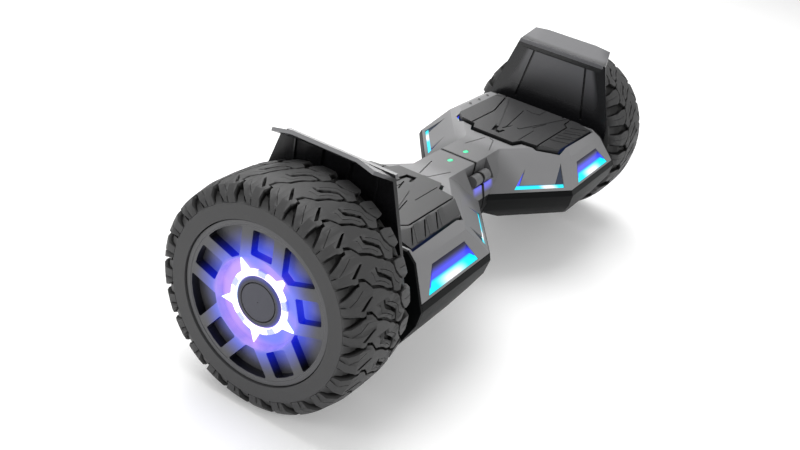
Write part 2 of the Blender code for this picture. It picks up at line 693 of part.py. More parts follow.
def make_pivot():
    """Hollow centre tube, the bushes it turns in, its clip, and the ring that fills the seam."""
    tube = ring(TUBE_R, TUBE_BORE_R, -TUBE_HALF_LENGTH, TUBE_HALF_LENGTH, PIVOT_Z)
    finished(tube, "pivot_tube", "steel")
    bush_inner = TUBE_R + TOUCH
    bush = ring(bush_inner + BUSH_WALL, bush_inner, SLEEVE[0] + TOUCH, SLEEVE[1], PIVOT_Z)
    both(bush, "pivot_bush", "bronze", (None, "twist"))
    clip_x = SLEEVE[1] + RUNNING
    clip = ring(TUBE_R + 0.0035, bush_inner, clip_x, clip_x + 0.0016, PIVOT_Z)
    finished(clip, "pivot_circlip", "steel")
    gasket = ring(NECK_R - 0.0015, TUBE_R + 2 * RUNNING, TOUCH - SEAM / 2, SEAM / 2 - TOUCH, PIVOT_Z, 32)
    finished(gasket, "seam_gasket", "pad_rubber")


def make_electronics():
    deck_z = DECK[4] + TOUCH
    x_a, x_b, half, height = BATTERY
    battery = block((x_a, -half, deck_z), (x_b, half, deck_z + height))
    battery = finished(battery, "battery_pack", "battery_wrap", smooth=False)
    bevel = battery.modifiers.new("edges", "BEVEL")
    bevel.width = 0.004
    bevel.segments = 2
    place_under(battery, "twist")

    x_a, x_b, half = BOARD
    board_z = deck_z + 0.006
    lift = board_z + BOARD_THICKNESS
    feet = [rod(0.003, (x, y, deck_z), (x, y, board_z + BOARD_THICKNESS / 2), 12)
            for x in (x_a + 0.006, x_b - 0.006) for y in (0.006 - half, half - 0.006)]
    can_xs = [x_a + 0.016 + 0.020 * i for i in range(3)]
    cans = [rod(0.008, (x, 0.026, board_z), (x, 0.026, lift + 0.018), 16) for x in can_xs]
    chip_xs = [x_a + 0.010 + 0.013 * i for i in range(5)]
    chips = [block((x, -0.036, board_z), (x + 0.009, -0.031, lift + 0.012)) for x in chip_xs]
    board = joined(block((x_a, -half, board_z), (x_b, half, lift)), *feet, *cans, *chips,
                   block((x_a + 0.030, -0.016, board_z), (x_a + 0.052, 0.006, lift + 0.002)))
    finished(mirrored(board), "main_board", "circuit_green", smooth=False)
    bpy.data.objects.remove(board, do_unlink=True)

    beam_top = BEAM[2] + TOUCH
    gyro_end = SLEEVE[1] + 0.030
    gyro = joined(block((SLEEVE[1] + 0.003, -0.012, beam_top), (gyro_end, 0.012, beam_top + BOARD_THICKNESS)),
                  block((SLEEVE[1] + 0.010, -0.004, beam_top), (SLEEVE[1] + 0.018, 0.004, beam_top + 0.003)))
    both(gyro, "gyro_board", "circuit_green", (None, "twist"), smooth=False)


def turned_up(profile, place, steps=32):
    """A piece turned about an upright axis, from an open (radius, height) profile, top to bottom."""
    mesh = bpy.data.meshes.new("turned_up")
    points = [(radius, 0, height) for radius, height in profile]
    mesh.from_pydata(points, [(i, i + 1) for i in range(len(points) - 1)], [])
    obj = bpy.data.objects.new("turned_up", mesh)
    screw = obj.modifiers.new("turn", "SCREW")
    screw.steps = screw.render_steps = steps
    screw.use_merge_vertices = True
    screw.merge_threshold = 1e-5
    obj.location = place
    CUTTERS.objects.link(obj)
    return baked(obj)


def make_button_and_socket():
    """Power button and charging socket in the underside of the right half, and the socket's flap."""
    inside = BOTTOM_Z + WALL + TOUCH
    top = DECK[3] - BUTTON_TRAVEL - TOUCH
    button = turned_up([(0, top), (0.003, top), (0.003, inside + 0.0016), (BUTTON_R + 0.002, inside + 0.0016),
                        (BUTTON_R + 0.002, inside), (BUTTON_R, inside), (BUTTON_R, BOTTOM_Z + 0.0005),
                        (BUTTON_R - 0.0005, BOTTOM_Z), (0, BOTTOM_Z)], (*BUTTON_AT, 0), 16)
    finished(button, "power_button", "black_plastic", "button")

    rim = SOCKET_R + 0.002
    back = DECK[3] - RUNNING
    pin_low = BOTTOM_Z + 0.006
    socket = turned_up([(0, back), (SOCKET_R - 0.001, back), (SOCKET_R - 0.001, inside + 0.0016),
                        (rim, inside + 0.0016), (rim, inside), (SOCKET_R, inside), (SOCKET_R, BOTTOM_Z),
                        (SOCKET_BORE_R, BOTTOM_Z), (SOCKET_BORE_R, back - 0.002), (0, back - 0.002)],
                       (*SOCKET_AT, 0), 20)
    pins = [rod(0.0008, (SOCKET_AT[0] + 0.003 * math.cos(a), SOCKET_AT[1] + 0.003 * math.sin(a), pin_low),
                (SOCKET_AT[0] + 0.003 * math.cos(a), SOCKET_AT[1] + 0.003 * math.sin(a), back - 0.001), 8)
            for a in (math.radians(d) for d in (90, 210, 330))]
    finished(joined(socket, *pins), "charge_socket", "steel", "twist")

    cap_top = BOTTOM_Z - 2 * TOUCH
    cap_low = cap_top - 0.0014
    x, y = SOCKET_AT
    lid = rod(rim, (x, y, cap_low), (x, y, cap_top), 24)
    strap = block((x - 0.004, y, cap_low), (x + 0.004, y + rim + 0.003, cap_top))
    plug = rod(SOCKET_BORE_R - RUNNING, (x, y, cap_low + 0.0005), (x, y, BOTTOM_Z + 0.001), 24)
    finished(joined(lid, strap, plug), "charge_cap", "pad_rubber", "flap", smooth=False)


# ---- Wheels ------------------------------------------------------------------------------------
def polar(radius, degrees):
    """A (y, z) point about the axle, with angles from the front (-Y) towards the top."""
    angle = math.radians(degrees)
    return -radius * math.cos(angle), radius * math.sin(angle)


def facing_out(x):
    """Plane across the axle at x, with its x along +Y and its y along +Z."""
    return Matrix(((0, 0, 1, x), (1, 0, 0, 0), (0, 1, 0, WHEEL_R), (0, 0, 0, 1)))


def spread(centre, half, count):
    return [centre - half + 2 * half * i / (count - 1) for i in range(count)]


def pocket_outlines():
    """Five wedge pockets and five straight ones between them, with parallel spokes left between."""
    outlines = []
    for k in range(5):
        wedge = STAR_ANGLE + 72 * k
        for centre, (outer_r, outer_half, inner_r, inner_half) in ((wedge, WEDGE_POCKET),
                                                                  (wedge + 36, STRAIGHT_POCKET)):
            outlines.append([polar(outer_r, a) for a in spread(centre, outer_half, 5)]
                            + [polar(inner_r, centre + inner_half), polar(inner_r, centre - inner_half)])
    return outlines


def make_hub_cover():
    """Spoked cover on the motor drum, with its middle dished for the light and the cap."""
    back_x = HUB_FACE_X - POCKET_DEPTH - COVER_BACK
    dish_x = CAP_FACE_X - 0.003
    boss_r = BEARING_R + TOUCH
    boss_x = back_x - BEARING_WIDTH - RUNNING
    cover = turned([(HUB_FACE_X, HUB_R - 0.0006), (HUB_FACE_X - 0.0006, HUB_R), (back_x, HUB_R),
                    (back_x, boss_r + 0.005), (boss_x, boss_r + 0.005), (boss_x, boss_r),
                    (back_x + 0.0005, boss_r), (back_x + 0.0005, 0.002), (dish_x, 0.002),
                    (dish_x, DISH_R), (HUB_FACE_X, DISH_R + 0.002)], WHEEL_R, 48)
    depth = POCKET_DEPTH + EXCESS
    place = facing_out(HUB_FACE_X - POCKET_DEPTH + depth / 2)
    for outline in pocket_outlines():
        cover = cut(cover, plate(outline, depth, place))
    both(cover, "hub_cover", "hub_grey", WHEEL_AXES)
    return boss_x, dish_x


def make_hub_light(dish_x):
    """Glowing ring round the cap, with five points."""
    inner, outer = LIGHT_RING
    outline = []
    for k in range(5):
        tip = STAR_ANGLE + 72 * k
        outline += [polar(outer, tip - 9), polar(STAR_R, tip), polar(outer, tip + 9)]
        outline += [polar(outer, tip + 9 + 54 * i / 5) for i in range(1, 5)]
    thickness = 0.0020
    star = plate(outline, thickness, facing_out(dish_x + TOUCH + thickness / 2))
    star = cut(star, rod(inner, (0, 0, WHEEL_R), (1, 0, WHEEL_R), 32))
    both(star, "hub_light", "light_hub", WHEEL_AXES, smooth=False)


def make_hub_cap(dish_x):
    face = CAP_FACE_X
    low = dish_x + TOUCH
    line_r = 0.018
    cap = turned([(face, 0.0015), (face, line_r - 0.0004), (face - 0.0008, line_r), (face, line_r + 0.0004),
                  (face, CAP_R - 0.0012), (face - 0.0012, CAP_R), (low, CAP_R), (low, 0.0015)], WHEEL_R, 32)
    both(joined(cap, rod(0.002, (low + 0.0003, 0, WHEEL_R), (face - 0.0002, 0, WHEEL_R), 12)),
         "hub_cap", "hub_grey", WHEEL_AXES)


def make_motors():
    """Axle, stator, drum and bearings of each hub motor, and the cover over it."""
    bearing_out_x, dish_x = make_hub_cover()
    make_hub_light(dish_x)
    make_hub_cap(dish_x)
    bearing = ring(BEARING_R, AXLE_R + TOUCH, DRUM_X, DRUM_X + BEARING_WIDTH, WHEEL_R)
    both(bearing, "wheel_bearing_in", "steel", WHEEL_AXES)
    bearing = ring(BEARING_R, AXLE_R + TOUCH, bearing_out_x, bearing_out_x + BEARING_WIDTH, WHEEL_R)
    both(bearing, "wheel_bearing_out", "steel", WHEEL_AXES)

    axle = rod(AXLE_R, (AXLE_IN_X, 0, WHEEL_R), (bearing_out_x + BEARING_WIDTH, 0, WHEEL_R), 24)
    both(axle, "motor_axle", "steel", (None, "twist"))

    stator_r = HUB_R - DRUM_WALL - AIR_GAP
    pitch = 360 / STATOR_TEETH
    outline = []
    for k in range(STATOR_TEETH):
        outline += [polar(stator_r, k * pitch + a) for a in (-0.36 * pitch, 0.36 * pitch)]
        outline += [polar(0.74 * stator_r, k * pitch + a) for a in (0.42 * pitch, 0.58 * pitch)]
    low_x = DRUM_X + BEARING_WIDTH + 2 * RUNNING
    high_x = bearing_out_x - RUNNING
    middle_x = (low_x + high_x) / 2
    stator = plate(outline, STATOR_WIDTH, facing_out(middle_x))
    recess_r = 0.62 * stator_r
    stator = cut(stator, rod(AXLE_R + TOUCH, (0, 0, WHEEL_R), (1, 0, WHEEL_R)),
                 rod(recess_r, (0, 0, WHEEL_R), (middle_x - STATOR_WEB / 2, 0, WHEEL_R)),
                 rod(recess_r, (middle_x + STATOR_WEB / 2, 0, WHEEL_R), (1, 0, WHEEL_R)))
    both(stator, "motor_stator", "copper", (None, "twist"), smooth=False)

    end_x = HUB_FACE_X - POCKET_DEPTH - COVER_BACK - TOUCH
    seat_r = BEARING_R + TOUCH
    drum = turned([(end_x, HUB_R), (DRUM_X, HUB_R), (DRUM_X, seat_r), (DRUM_X + BEARING_WIDTH, seat_r),
                   (DRUM_X + BEARING_WIDTH, seat_r + 0.004), (DRUM_X + DRUM_SIDE, seat_r + 0.004),
                   (DRUM_X + DRUM_SIDE, HUB_R - DRUM_WALL), (end_x, HUB_R - DRUM_WALL)], WHEEL_R, 36)
    both(drum, "motor_drum", "cast_aluminium", WHEEL_AXES)


def make_tyres():
    """Solid tyres: a ring of sections, each through a shoulder knob or through the gap beside it."""
    bead = [(TYRE_WIDTH / 2, HUB_R + TOUCH)]
    pitch = math.tau / TREAD_KNOBS
    ramp = 0.05 * pitch
    stations = []
    for k in range(TREAD_KNOBS):
        start = k * pitch
        knob = KNOB_SHARE * pitch
        stations += [(start, KNOB_SECTION), (start + knob, KNOB_SECTION),
                     (start + knob + ramp, GROOVE_SECTION), (start + pitch - ramp, GROOVE_SECTION)]
    bm = bmesh.new()
    loops = []
    for angle, section in stations:
        half = bead + section
        points = half + [(0, WHEEL_R)] + [(-x, r) for x, r in reversed(half)]
        loops.append([bm.verts.new((WHEEL_X + x, r * math.sin(angle), WHEEL_R + r * math.cos(angle)))
                      for x, r in points])
    for index, loop in enumerate(loops):
        after = loops[(index + 1) % len(loops)]
        for i in range(len(loop)):
            j = (i + 1) % len(loop)
            bm.faces.new((loop[i], loop[j], after[j], after[i]))
    both(object_from(bm, "tyre"), "tyre", "tyre_rubber", WHEEL_AXES)


make_shells()
make_side_plates()
make_fenders()
make_pads()
make_lights()
make_chassis()
make_pivot()
make_electronics()
make_button_and_socket()
make_motors()
make_tyres()
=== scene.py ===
# %% [markdown]
# # A self balancing hoverboard, finished in Blender
#
# The board is two hinged halves on two hub-motor wheels. Its frame comes packed, with every part in
# its true place, so this lesson only makes looks: bevelled mouldings, a cut tread, lit light guides
# and the finishes.

# %% Load the frame
import math

import bmesh
import bpy
from mathutils import Matrix, Vector


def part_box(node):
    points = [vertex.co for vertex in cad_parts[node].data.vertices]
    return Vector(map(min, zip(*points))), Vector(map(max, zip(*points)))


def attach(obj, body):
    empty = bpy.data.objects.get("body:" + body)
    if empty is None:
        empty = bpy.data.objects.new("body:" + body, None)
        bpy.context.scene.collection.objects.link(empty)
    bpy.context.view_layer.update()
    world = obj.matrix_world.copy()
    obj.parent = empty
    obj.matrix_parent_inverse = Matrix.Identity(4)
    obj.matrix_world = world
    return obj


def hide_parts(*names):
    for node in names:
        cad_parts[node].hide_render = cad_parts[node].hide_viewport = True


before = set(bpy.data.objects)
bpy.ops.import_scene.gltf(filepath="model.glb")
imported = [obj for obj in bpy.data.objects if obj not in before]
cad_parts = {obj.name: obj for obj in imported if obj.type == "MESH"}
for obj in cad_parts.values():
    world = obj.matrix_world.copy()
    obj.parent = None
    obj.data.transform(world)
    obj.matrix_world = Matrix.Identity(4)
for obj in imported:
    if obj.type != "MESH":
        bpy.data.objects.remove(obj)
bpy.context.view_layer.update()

# %% [markdown]
# ## Camera and light
#
# A board of this kind is best shown from above one wheel, with a short telephoto and the camera
# rolled a little, so that the board runs up to the right. The light is a wide soft box overhead,
# helped by a pale surround. The Standard view keeps the lit blues and cyans pure.

# %% Camera
CAMERA_PLACE = Vector((-0.9077, -0.4053, 0.5686))
CAMERA_YAW, CAMERA_PITCH, CAMERA_ROLL = (math.radians(a) for a in (24.87, -26.69, 12.05))
CAMERA_LENS, SENSOR_WIDTH, CAMERA_SHIFT = 44.05, 36, (-0.0405, -0.0125)


def make_camera():
    forward = Vector((math.cos(CAMERA_PITCH) * math.cos(CAMERA_YAW),
                      math.cos(CAMERA_PITCH) * math.sin(CAMERA_YAW), math.sin(CAMERA_PITCH)))
    level = Vector((math.sin(CAMERA_YAW), -math.cos(CAMERA_YAW), 0))
    raised = level.cross(forward)
    right = level * math.cos(CAMERA_ROLL) + raised * math.sin(CAMERA_ROLL)
    up = raised * math.cos(CAMERA_ROLL) - level * math.sin(CAMERA_ROLL)
    data = bpy.data.cameras.new("camera")
    data.lens, data.sensor_width = CAMERA_LENS, SENSOR_WIDTH
    data.shift_x, data.shift_y = CAMERA_SHIFT
    camera = bpy.data.objects.new("camera", data)
    turned = Matrix((right, up, -forward)).transposed().to_4x4()
    camera.matrix_world = Matrix.Translation(CAMERA_PLACE) @ turned
    bpy.context.scene.collection.objects.link(camera)
    bpy.context.scene.camera = camera


make_camera()
bpy.context.scene.view_settings.view_transform = "Standard"
print("camera:", round(CAMERA_PLACE.length, 2), "m from the middle of the board")

# %% Soft light and a pale surround
LIGHTS = {   # name: (place, size, power)
    "overhead": ((0.15, 0.55, 1.7), 1.6, 26),
    "front_fill": ((-0.7, -1.9, 1.1), 1.0, 9),
    "far_strip": ((1.3, 1.1, 1.0), 0.8, 10),
    "wheel_kick": ((-1.7, 0.9, 0.9), 0.7, 7),
}
LIGHT_TARGET = Vector((0, 0, 0.1))
SURROUND_STRENGTH = 0.62


def make_lights():
    for name, (place, size, power) in LIGHTS.items():
        data = bpy.data.lights.new(name, "AREA")
        data.size, data.energy = size, power
        lamp = bpy.data.objects.new(name, data)
        lamp.location = place
        lamp.rotation_euler = (LIGHT_TARGET - Vector(place)).to_track_quat("-Z", "Y").to_euler()
        bpy.context.scene.collection.objects.link(lamp)
    world = bpy.data.worlds.new("surround")
    world.use_nodes = True
    surround = world.node_tree.nodes["Background"].inputs
    surround["Color"].default_value = (1, 1, 1, 1)
    surround["Strength"].default_value = SURROUND_STRENGTH
    bpy.context.scene.world = world


make_lights()
print(len(LIGHTS), "lamps")

# %% [markdown]
# ## Writing materials as sums
#
# Finishes here are worked out from positions: how far a point is from a light, how deep it lies in a
# pocket, how grainy the moulding is. A small class lets a socket stand in an ordinary expression, and
# one method adds every other kind of node.

# %% Sockets that can be added and multiplied


class Socket:
    """A socket of a finish's node tree that takes part in Python arithmetic."""

    def __init__(self, finish, out):
        self.finish, self.out = finish, out

    def math(self, operation, first, second):
        return self.finish.node("ShaderNodeMath", {"operation": operation}, {0: first, 1: second})

    def __add__(self, other):
        return self.math("ADD", self, other)

    def __sub__(self, other):
        return self.math("SUBTRACT", self, other)

    def __rsub__(self, other):
        return self.math("SUBTRACT", other, self)

    def __mul__(self, other):
        return self.math("MULTIPLY", self, other)

    def __pow__(self, other):
        return self.math("POWER", self, other)

    def __gt__(self, other):
        return self.math("GREATER_THAN", self, other)

    def __abs__(self):
        return self.math("ABSOLUTE", self, 0)

    __radd__ = __add__
    __rmul__ = __mul__


class Finish:
    """A material, its main shader and its position on the object in metres."""

    def __init__(self, name, colour, roughness, metallic=0.0, coat=0.0, specular=0.5):
        self.material = bpy.data.materials.new(name)
        self.material.use_nodes = True
        self.tree = self.material.node_tree
        self.shader = self.tree.nodes["Principled BSDF"]
        self.shader.inputs["Specular IOR Level"].default_value = specular
        self.shader.inputs["Coat Weight"].default_value = coat
        self.shader.inputs["Coat Roughness"].default_value = 0.18
        self.shader.inputs["Metallic"].default_value = metallic
        place = self.tree.nodes.new("ShaderNodeTexCoord").outputs["Object"]
        self.place = Socket(self, place)
        self.x, self.y, self.z = (self.node("ShaderNodeSeparateXYZ", {}, {0: self.place}, axis)
                                  for axis in "XYZ")
        self.set("Base Color", (*colour, 1))
        self.set("Roughness", roughness)

    def node(self, kind, settings, inputs, output=0):
        """Adds one node: its settings first, then its sockets, and returns the output asked for."""
        made = self.tree.nodes.new(kind)
        for name, value in settings.items():
            setattr(made, name, value)
        for name, value in inputs.items():
            if isinstance(value, Socket):
                self.tree.links.new(value.out, made.inputs[name])
            else:
                made.inputs[name].default_value = value
        return Socket(self, made.outputs[output])

    def math_max(self, first, second):
        return self.node("ShaderNodeMath", {"operation": "MAXIMUM"}, {0: first, 1: second})

    def set(self, name, value):
        if isinstance(value, Socket):
            self.tree.links.new(value.out, self.shader.inputs[name])
        else:
            self.shader.inputs[name].default_value = value

    def mix(self, share, first, second):
        """One colour turning into another; each is a socket or a triple."""
        pair = [c if isinstance(c, Socket) else (*c, 1) for c in (first, second)]
        return self.node("ShaderNodeMix", {"data_type": "RGBA"}, {0: share, 6: pair[0], 7: pair[1]}, 2)

    def step(self, value, start, end):
        """0 before start, 1 after end and smooth between them; start may be the larger one."""
        return self.node("ShaderNodeMapRange", {"interpolation_type": "SMOOTHSTEP"},
                         {"Value": value, "From Min": start, "From Max": end})

    def noise(self, scale, detail=2.0, stretch=(1, 1, 1)):
        """Cloudy noise from 0 to 1, at so many lumps a metre."""
        vector = self.node("ShaderNodeMapping", {}, {0: self.place, "Scale": stretch})
        return self.node("ShaderNodeTexNoise", {}, {"Vector": vector, "Scale": scale, "Detail": detail})

    def relief(self, height, depth, strength=1.0):
        """Feeds a height from 0 to 1 to the shader as a bump of so many metres."""
        sockets = {"Strength": strength, "Distance": depth, "Height": height}
        self.set("Normal", self.node("ShaderNodeBump", {}, sockets))

    def glow(self, colour, strength):
        self.set("Emission Color", colour)
        self.shader.inputs["Emission Strength"].default_value = strength


print("socket arithmetic is ready")

# %% [markdown]
# ## Mesh helpers
#
# Real mouldings have no knife edges, and the catch of light along a small bevel is what makes plastic
# look moulded. Most pieces start as a welded copy of a frame part, are cut or added to, and are
# bevelled last. Each finished piece stands for its frame part and rides on its body.

# %% Objects, solids and cuts
MM = 0.001


def new_object(name, bm):
    bmesh.ops.recalc_face_normals(bm, faces=bm.faces)
    mesh = bpy.data.meshes.new(name)
    bm.to_mesh(mesh)
    bm.free()
    obj = bpy.data.objects.new(name, mesh)
    bpy.context.scene.collection.objects.link(obj)
    return obj


def applied(obj):
    """Turns an object's modifiers into plain mesh."""
    bpy.context.view_layer.update()
    graph = bpy.context.evaluated_depsgraph_get()
    mesh = bpy.data.meshes.new_from_object(obj.evaluated_get(graph), depsgraph=graph)
    obj.modifiers.clear()
    old, obj.data = obj.data, mesh
    if not old.users:
        bpy.data.meshes.remove(old)
    return obj


def combined(obj, tools, operation="DIFFERENCE"):
    for tool in tools:
        modifier = obj.modifiers.new("combine", "BOOLEAN")
        modifier.operation, modifier.object = operation, tool
    applied(obj)
    for tool in tools:
        bpy.data.objects.remove(tool, do_unlink=True)
    return obj


def joined(name, pieces):
    """One object with the meshes of several, which it replaces."""
    bm = bmesh.new()
    for piece in pieces:
        bm.from_mesh(piece.data)
        bpy.data.objects.remove(piece, do_unlink=True)
    return new_object(name, bm)


def solid(name, low, high):
    """A closed solid between two rings that have as many points each."""
    bm = bmesh.new()
    low, high = [[bm.verts.new(point) for point in ring] for ring in (low, high)]
    bm.faces.new(low[::-1])
    bm.faces.new(high)
    for i, corner in enumerate(low):
        j = (i + 1) % len(low)
        bm.faces.new((corner, low[j], high[j], high[i]))
    return new_object(name, bm)


def extruded(outline, low, high):
    """A prism on a flat outline, from one height to another."""
    return solid("prism", [(x, y, low) for x, y in outline], [(x, y, high) for x, y in outline])


def stroke(points, width):
    """The outline of a line drawn with a broad pen, mitred at its bends."""
    left, right = [], []
    for index, point in enumerate(points):
        before = Vector(points[max(index - 1, 0)])
        after = Vector(points[min(index + 1, len(points) - 1)])
        here = Vector(point)
        sides = [Vector((-d.y, d.x)).normalized() for d in (here - before, after - here) if d.length]
        middle = (sides[0] + sides[-1]).normalized()
        offset = middle * (width / 2 / max(middle.dot(sides[0]), 0.4))
        left.append(tuple(here + offset))
        right.append(tuple(here - offset))
    return left + right[::-1]


print("lengths are in metres; MM is", MM)

# %% Smooth shading, bevels and placing
HALVES = ("half_l", "half_r")
WHEELS = ("wheel_l", "wheel_r")
PADS = ("pad_l", "pad_r")


def smooth(obj, angle=32):
    """Shades an object smooth up to an angle, with its large flat faces kept flat."""
    obj.data.shade_smooth()
    obj.data.set_sharp_from_angle(angle=math.radians(angle))
    weighted = obj.modifiers.new("weighted", "WEIGHTED_NORMAL")
    weighted.keep_sharp, weighted.weight = True, 80
    return applied(obj)


def bevelled(obj, width, segments=2, limit=25):
    bevel = obj.modifiers.new("bevel", "BEVEL")
    bevel.width, bevel.segments = width, segments
    bevel.limit_method, bevel.angle_limit = "ANGLE", math.radians(limit)
    bevel.harden_normals = False
    return smooth(applied(obj))


def welded(node):
    """A copy of a frame part with its points merged and its flat faces joined."""
    bm = bmesh.new()
    bm.from_mesh(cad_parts[node].data)
    bmesh.ops.remove_doubles(bm, verts=bm.verts, dist=1e-5)
    bmesh.ops.dissolve_limit(bm, angle_limit=math.radians(0.6), verts=bm.verts, edges=bm.edges)
    return new_object(node + "_look", bm)


def placed(obj, name, body, finish, slot, *nodes):
    """Names a finished piece, gives it its material and its body, and hides the frame parts it stands
    for.
    """
    obj.name = obj.data.name = name
    obj.data.materials.clear()
    obj.data.materials.append(finish.material)
    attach(obj, body)
    if nodes:
        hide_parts(*nodes)
    return obj


def mirrored(obj):
    """The mirror image of an object across the seam between the halves."""
    bm = bmesh.new()
    bm.from_mesh(obj.data)
    bmesh.ops.scale(bm, vec=(-1, 1, 1), verts=bm.verts)
    return new_object(obj.name, bm)


def both(obj, name, bodies, finish, slot, *nodes):
    """Places a left-hand piece and its mirror image."""
    twin = mirrored(obj)
    smooth(twin)
    placed(obj, name + "_l", bodies[0], finish, slot, *(n + "_l" for n in nodes))
    placed(twin, name + "_r", bodies[1], finish, slot, *(n + "_r" for n in nodes))
    print(name, len(obj.data.polygons), "faces on each side")


print("bodies with a left and a right:", HALVES, WHEELS, PADS)

# %% [markdown]
# ## Moulded plastics
#
# The casings are satin ABS, with a spark-eroded grain too fine to see as bumps but enough to break up
# its reflections. Soft clouds in the colour and the gloss keep it from looking painted on.

# %% Grained plastic
GRAIN_DEPTH = 0.06 * MM


def grain(finish, roughness, lumps=1500):
    """Sets a satin gloss with a fine relief, and returns the clouds that vary it."""
    clouds, fine = finish.noise(18, 3), finish.noise(lumps, 2)
    finish.set("Roughness", roughness - 0.03 + clouds * 0.06 + fine * 0.02)
    finish.relief(fine, GRAIN_DEPTH, 0.5)
    return clouds


def clouded(finish, clouds, colour, spread=0.05):
    """A colour that is a little darker here and a little lighter there."""
    dark, light = (tuple(c * share for c in colour) for share in (1 - spread, 1 + spread))
    return finish.mix(clouds, dark, light)


def grained(name, colour, roughness, lumps=1500, specular=0.5, coat=0.0, spread=0.05):
    finish = Finish(name, colour, roughness, specular=specular, coat=coat)
    clouds = grain(finish, roughness, lumps)
    finish.set("Base Color", clouded(finish, clouds, colour, spread))
    return finish


BLACK_PLASTIC = grained("black_plastic", (0.0020, 0.0024, 0.0026), 0.46, specular=0.07)
print("black plastic is ready")

# %% [markdown]
# ### The grey of the upper casing
#
# Over the seam the casings are black where the gasket shows. The neck gets a painted shade that makes
# it darker than the rest, and the two faces beside the hinge barrel get a painted blue glow, as if lit
# from inside. Distances from the seam and from the barrel's axis say where each begins, so one
# material serves both halves.

# %% Grey casing, painted shade on the neck and painted glow by the hinge
SHELL_COLOUR = (0.170, 0.170, 0.174)
SHELL_ROUGHNESS = 0.42
SEAM_EDGE, SEAM_BLUR = 2.8 * MM, 0.4 * MM
NECK_START, NECK_FULL = 0.068, 0.040      # distance from the seam, in metres
PAINTED_NECK_SHADE = 0.62
BARREL_Y, BARREL_Z = -0.0300, 0.1315


def shell_grey():
    finish = Finish("shell_grey", SHELL_COLOUR, SHELL_ROUGHNESS)
    body = clouded(finish, grain(finish, SHELL_ROUGHNESS), SHELL_COLOUR)
    from_seam = abs(finish.x)
    # Painted shade: the neck is darker than the rest of the casing.
    neck = finish.step(from_seam, NECK_START, NECK_FULL)
    body = finish.mix(neck, body, tuple(c * PAINTED_NECK_SHADE for c in SHELL_COLOUR))
    seam = finish.step(from_seam, SEAM_EDGE + SEAM_BLUR, SEAM_EDGE)
    finish.set("Base Color", finish.mix(seam, body, (0.002, 0.002, 0.002)))
    # Painted glow: blue light on the grey faces beside the hinge barrel.
    off_y, off_z = finish.y - BARREL_Y, finish.z - BARREL_Z
    away = (off_y * off_y + off_z * off_z) ** 0.5
    ring = finish.step(away, 0.0073, 0.0080) * finish.step(away, 0.0185, 0.0095)
    front = finish.step(finish.y, -0.024, -0.028)
    lit = ring * finish.step(from_seam, 0.0250, 0.0170) * front
    finish.glow(finish.mix(lit * (1 - seam), (0, 0, 0), (0.10, 0.10, 0.95)), 0.75)
    return finish


SHELL_GREY = shell_grey()
print("the hinge barrel glows at y, z =", BARREL_Y, BARREL_Z)

# %% [markdown]
# ## Casings
#
# Each half is a grey upper moulding on a black lower one, closed by a black plate on the wheel side.
# Their shapes are already right, so they are bevelled copies. The upper one also has shallow lines on
# its neck and short slots behind the foot pad, which are cut with slim prisms before it is bevelled.

# %% Upper and lower casings
TOP_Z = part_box("top_shell_l")[1].z
LINE_WIDTH, LINE_DEPTH = 1.2 * MM, 1.3 * MM
SHELL_LINES = [[(-45, -16), (-75, -6), (-78, 0)], [(-38, 12), (-75, 5)]]     # mm, left half
RAIL_SLOTS = [[(x, 66), (x - 9, 71)] for x in (-152, -176, -200)]            # mm, behind the pad
RAIL_SLOT_WIDTH = 3.2 * MM


def line_cutters(lines, width, depth, top):
    """Slim prisms along lines given in millimetres, that cut down from a height."""
    return [extruded(stroke([(x * MM, y * MM) for x, y in line], width), top - depth, top + depth)
            for line in lines]


def make_casings():
    top = welded("top_shell_l")
    cutters = line_cutters(SHELL_LINES, LINE_WIDTH, LINE_DEPTH, TOP_Z)
    cutters += line_cutters(RAIL_SLOTS, RAIL_SLOT_WIDTH, LINE_DEPTH, TOP_Z)
    combined(top, cutters)
    both(bevelled(top, 0.9 * MM), "upper_casing", HALVES, SHELL_GREY, "shell_grey", "top_shell")
    for side, body in zip("lr", HALVES):      # only the right one has the button and the socket
        node = "bottom_shell_" + side
        bottom = bevelled(welded(node), 0.8 * MM)
        placed(bottom, "lower_casing_" + side, body, BLACK_PLASTIC, "black_plastic", node)
    plate = bevelled(welded("side_plate_l"), 0.5 * MM)
    both(plate, "end_plate", HALVES, BLACK_PLASTIC, "black_plastic", "side_plate")


make_casings()

# %% [markdown]
# ## Tyre tread
#
# The tread is 24 equal pitches of a directional block: a lug that wraps the outer shoulder, a hooked
# slot that splits the block's arm from its tongue, a short deep slot, thin sipes, and a separate lug
# on the inner shoulder. One pitch is drawn flat, as distances across the tread and degrees round the
# wheel, with its slots as holes in a filled curve. It is then cut into a grid so that it can bend, and
# wrapped onto the crown. Geometry Nodes turn the 24 copies.

# %% The tread drawn flat
PITCHES = 24
PITCH = 360 / PITCHES
TYRE_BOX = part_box("tyre_l")
TYRE_R = (TYRE_BOX[1].z - TYRE_BOX[0].z) / 2
AXLE = Vector(((TYRE_BOX[0].x + TYRE_BOX[1].x) / 2, 0, (TYRE_BOX[0].z + TYRE_BOX[1].z) / 2))
ARC_MM = math.radians(1) * TYRE_R / MM       # millimetres of tread to a degree
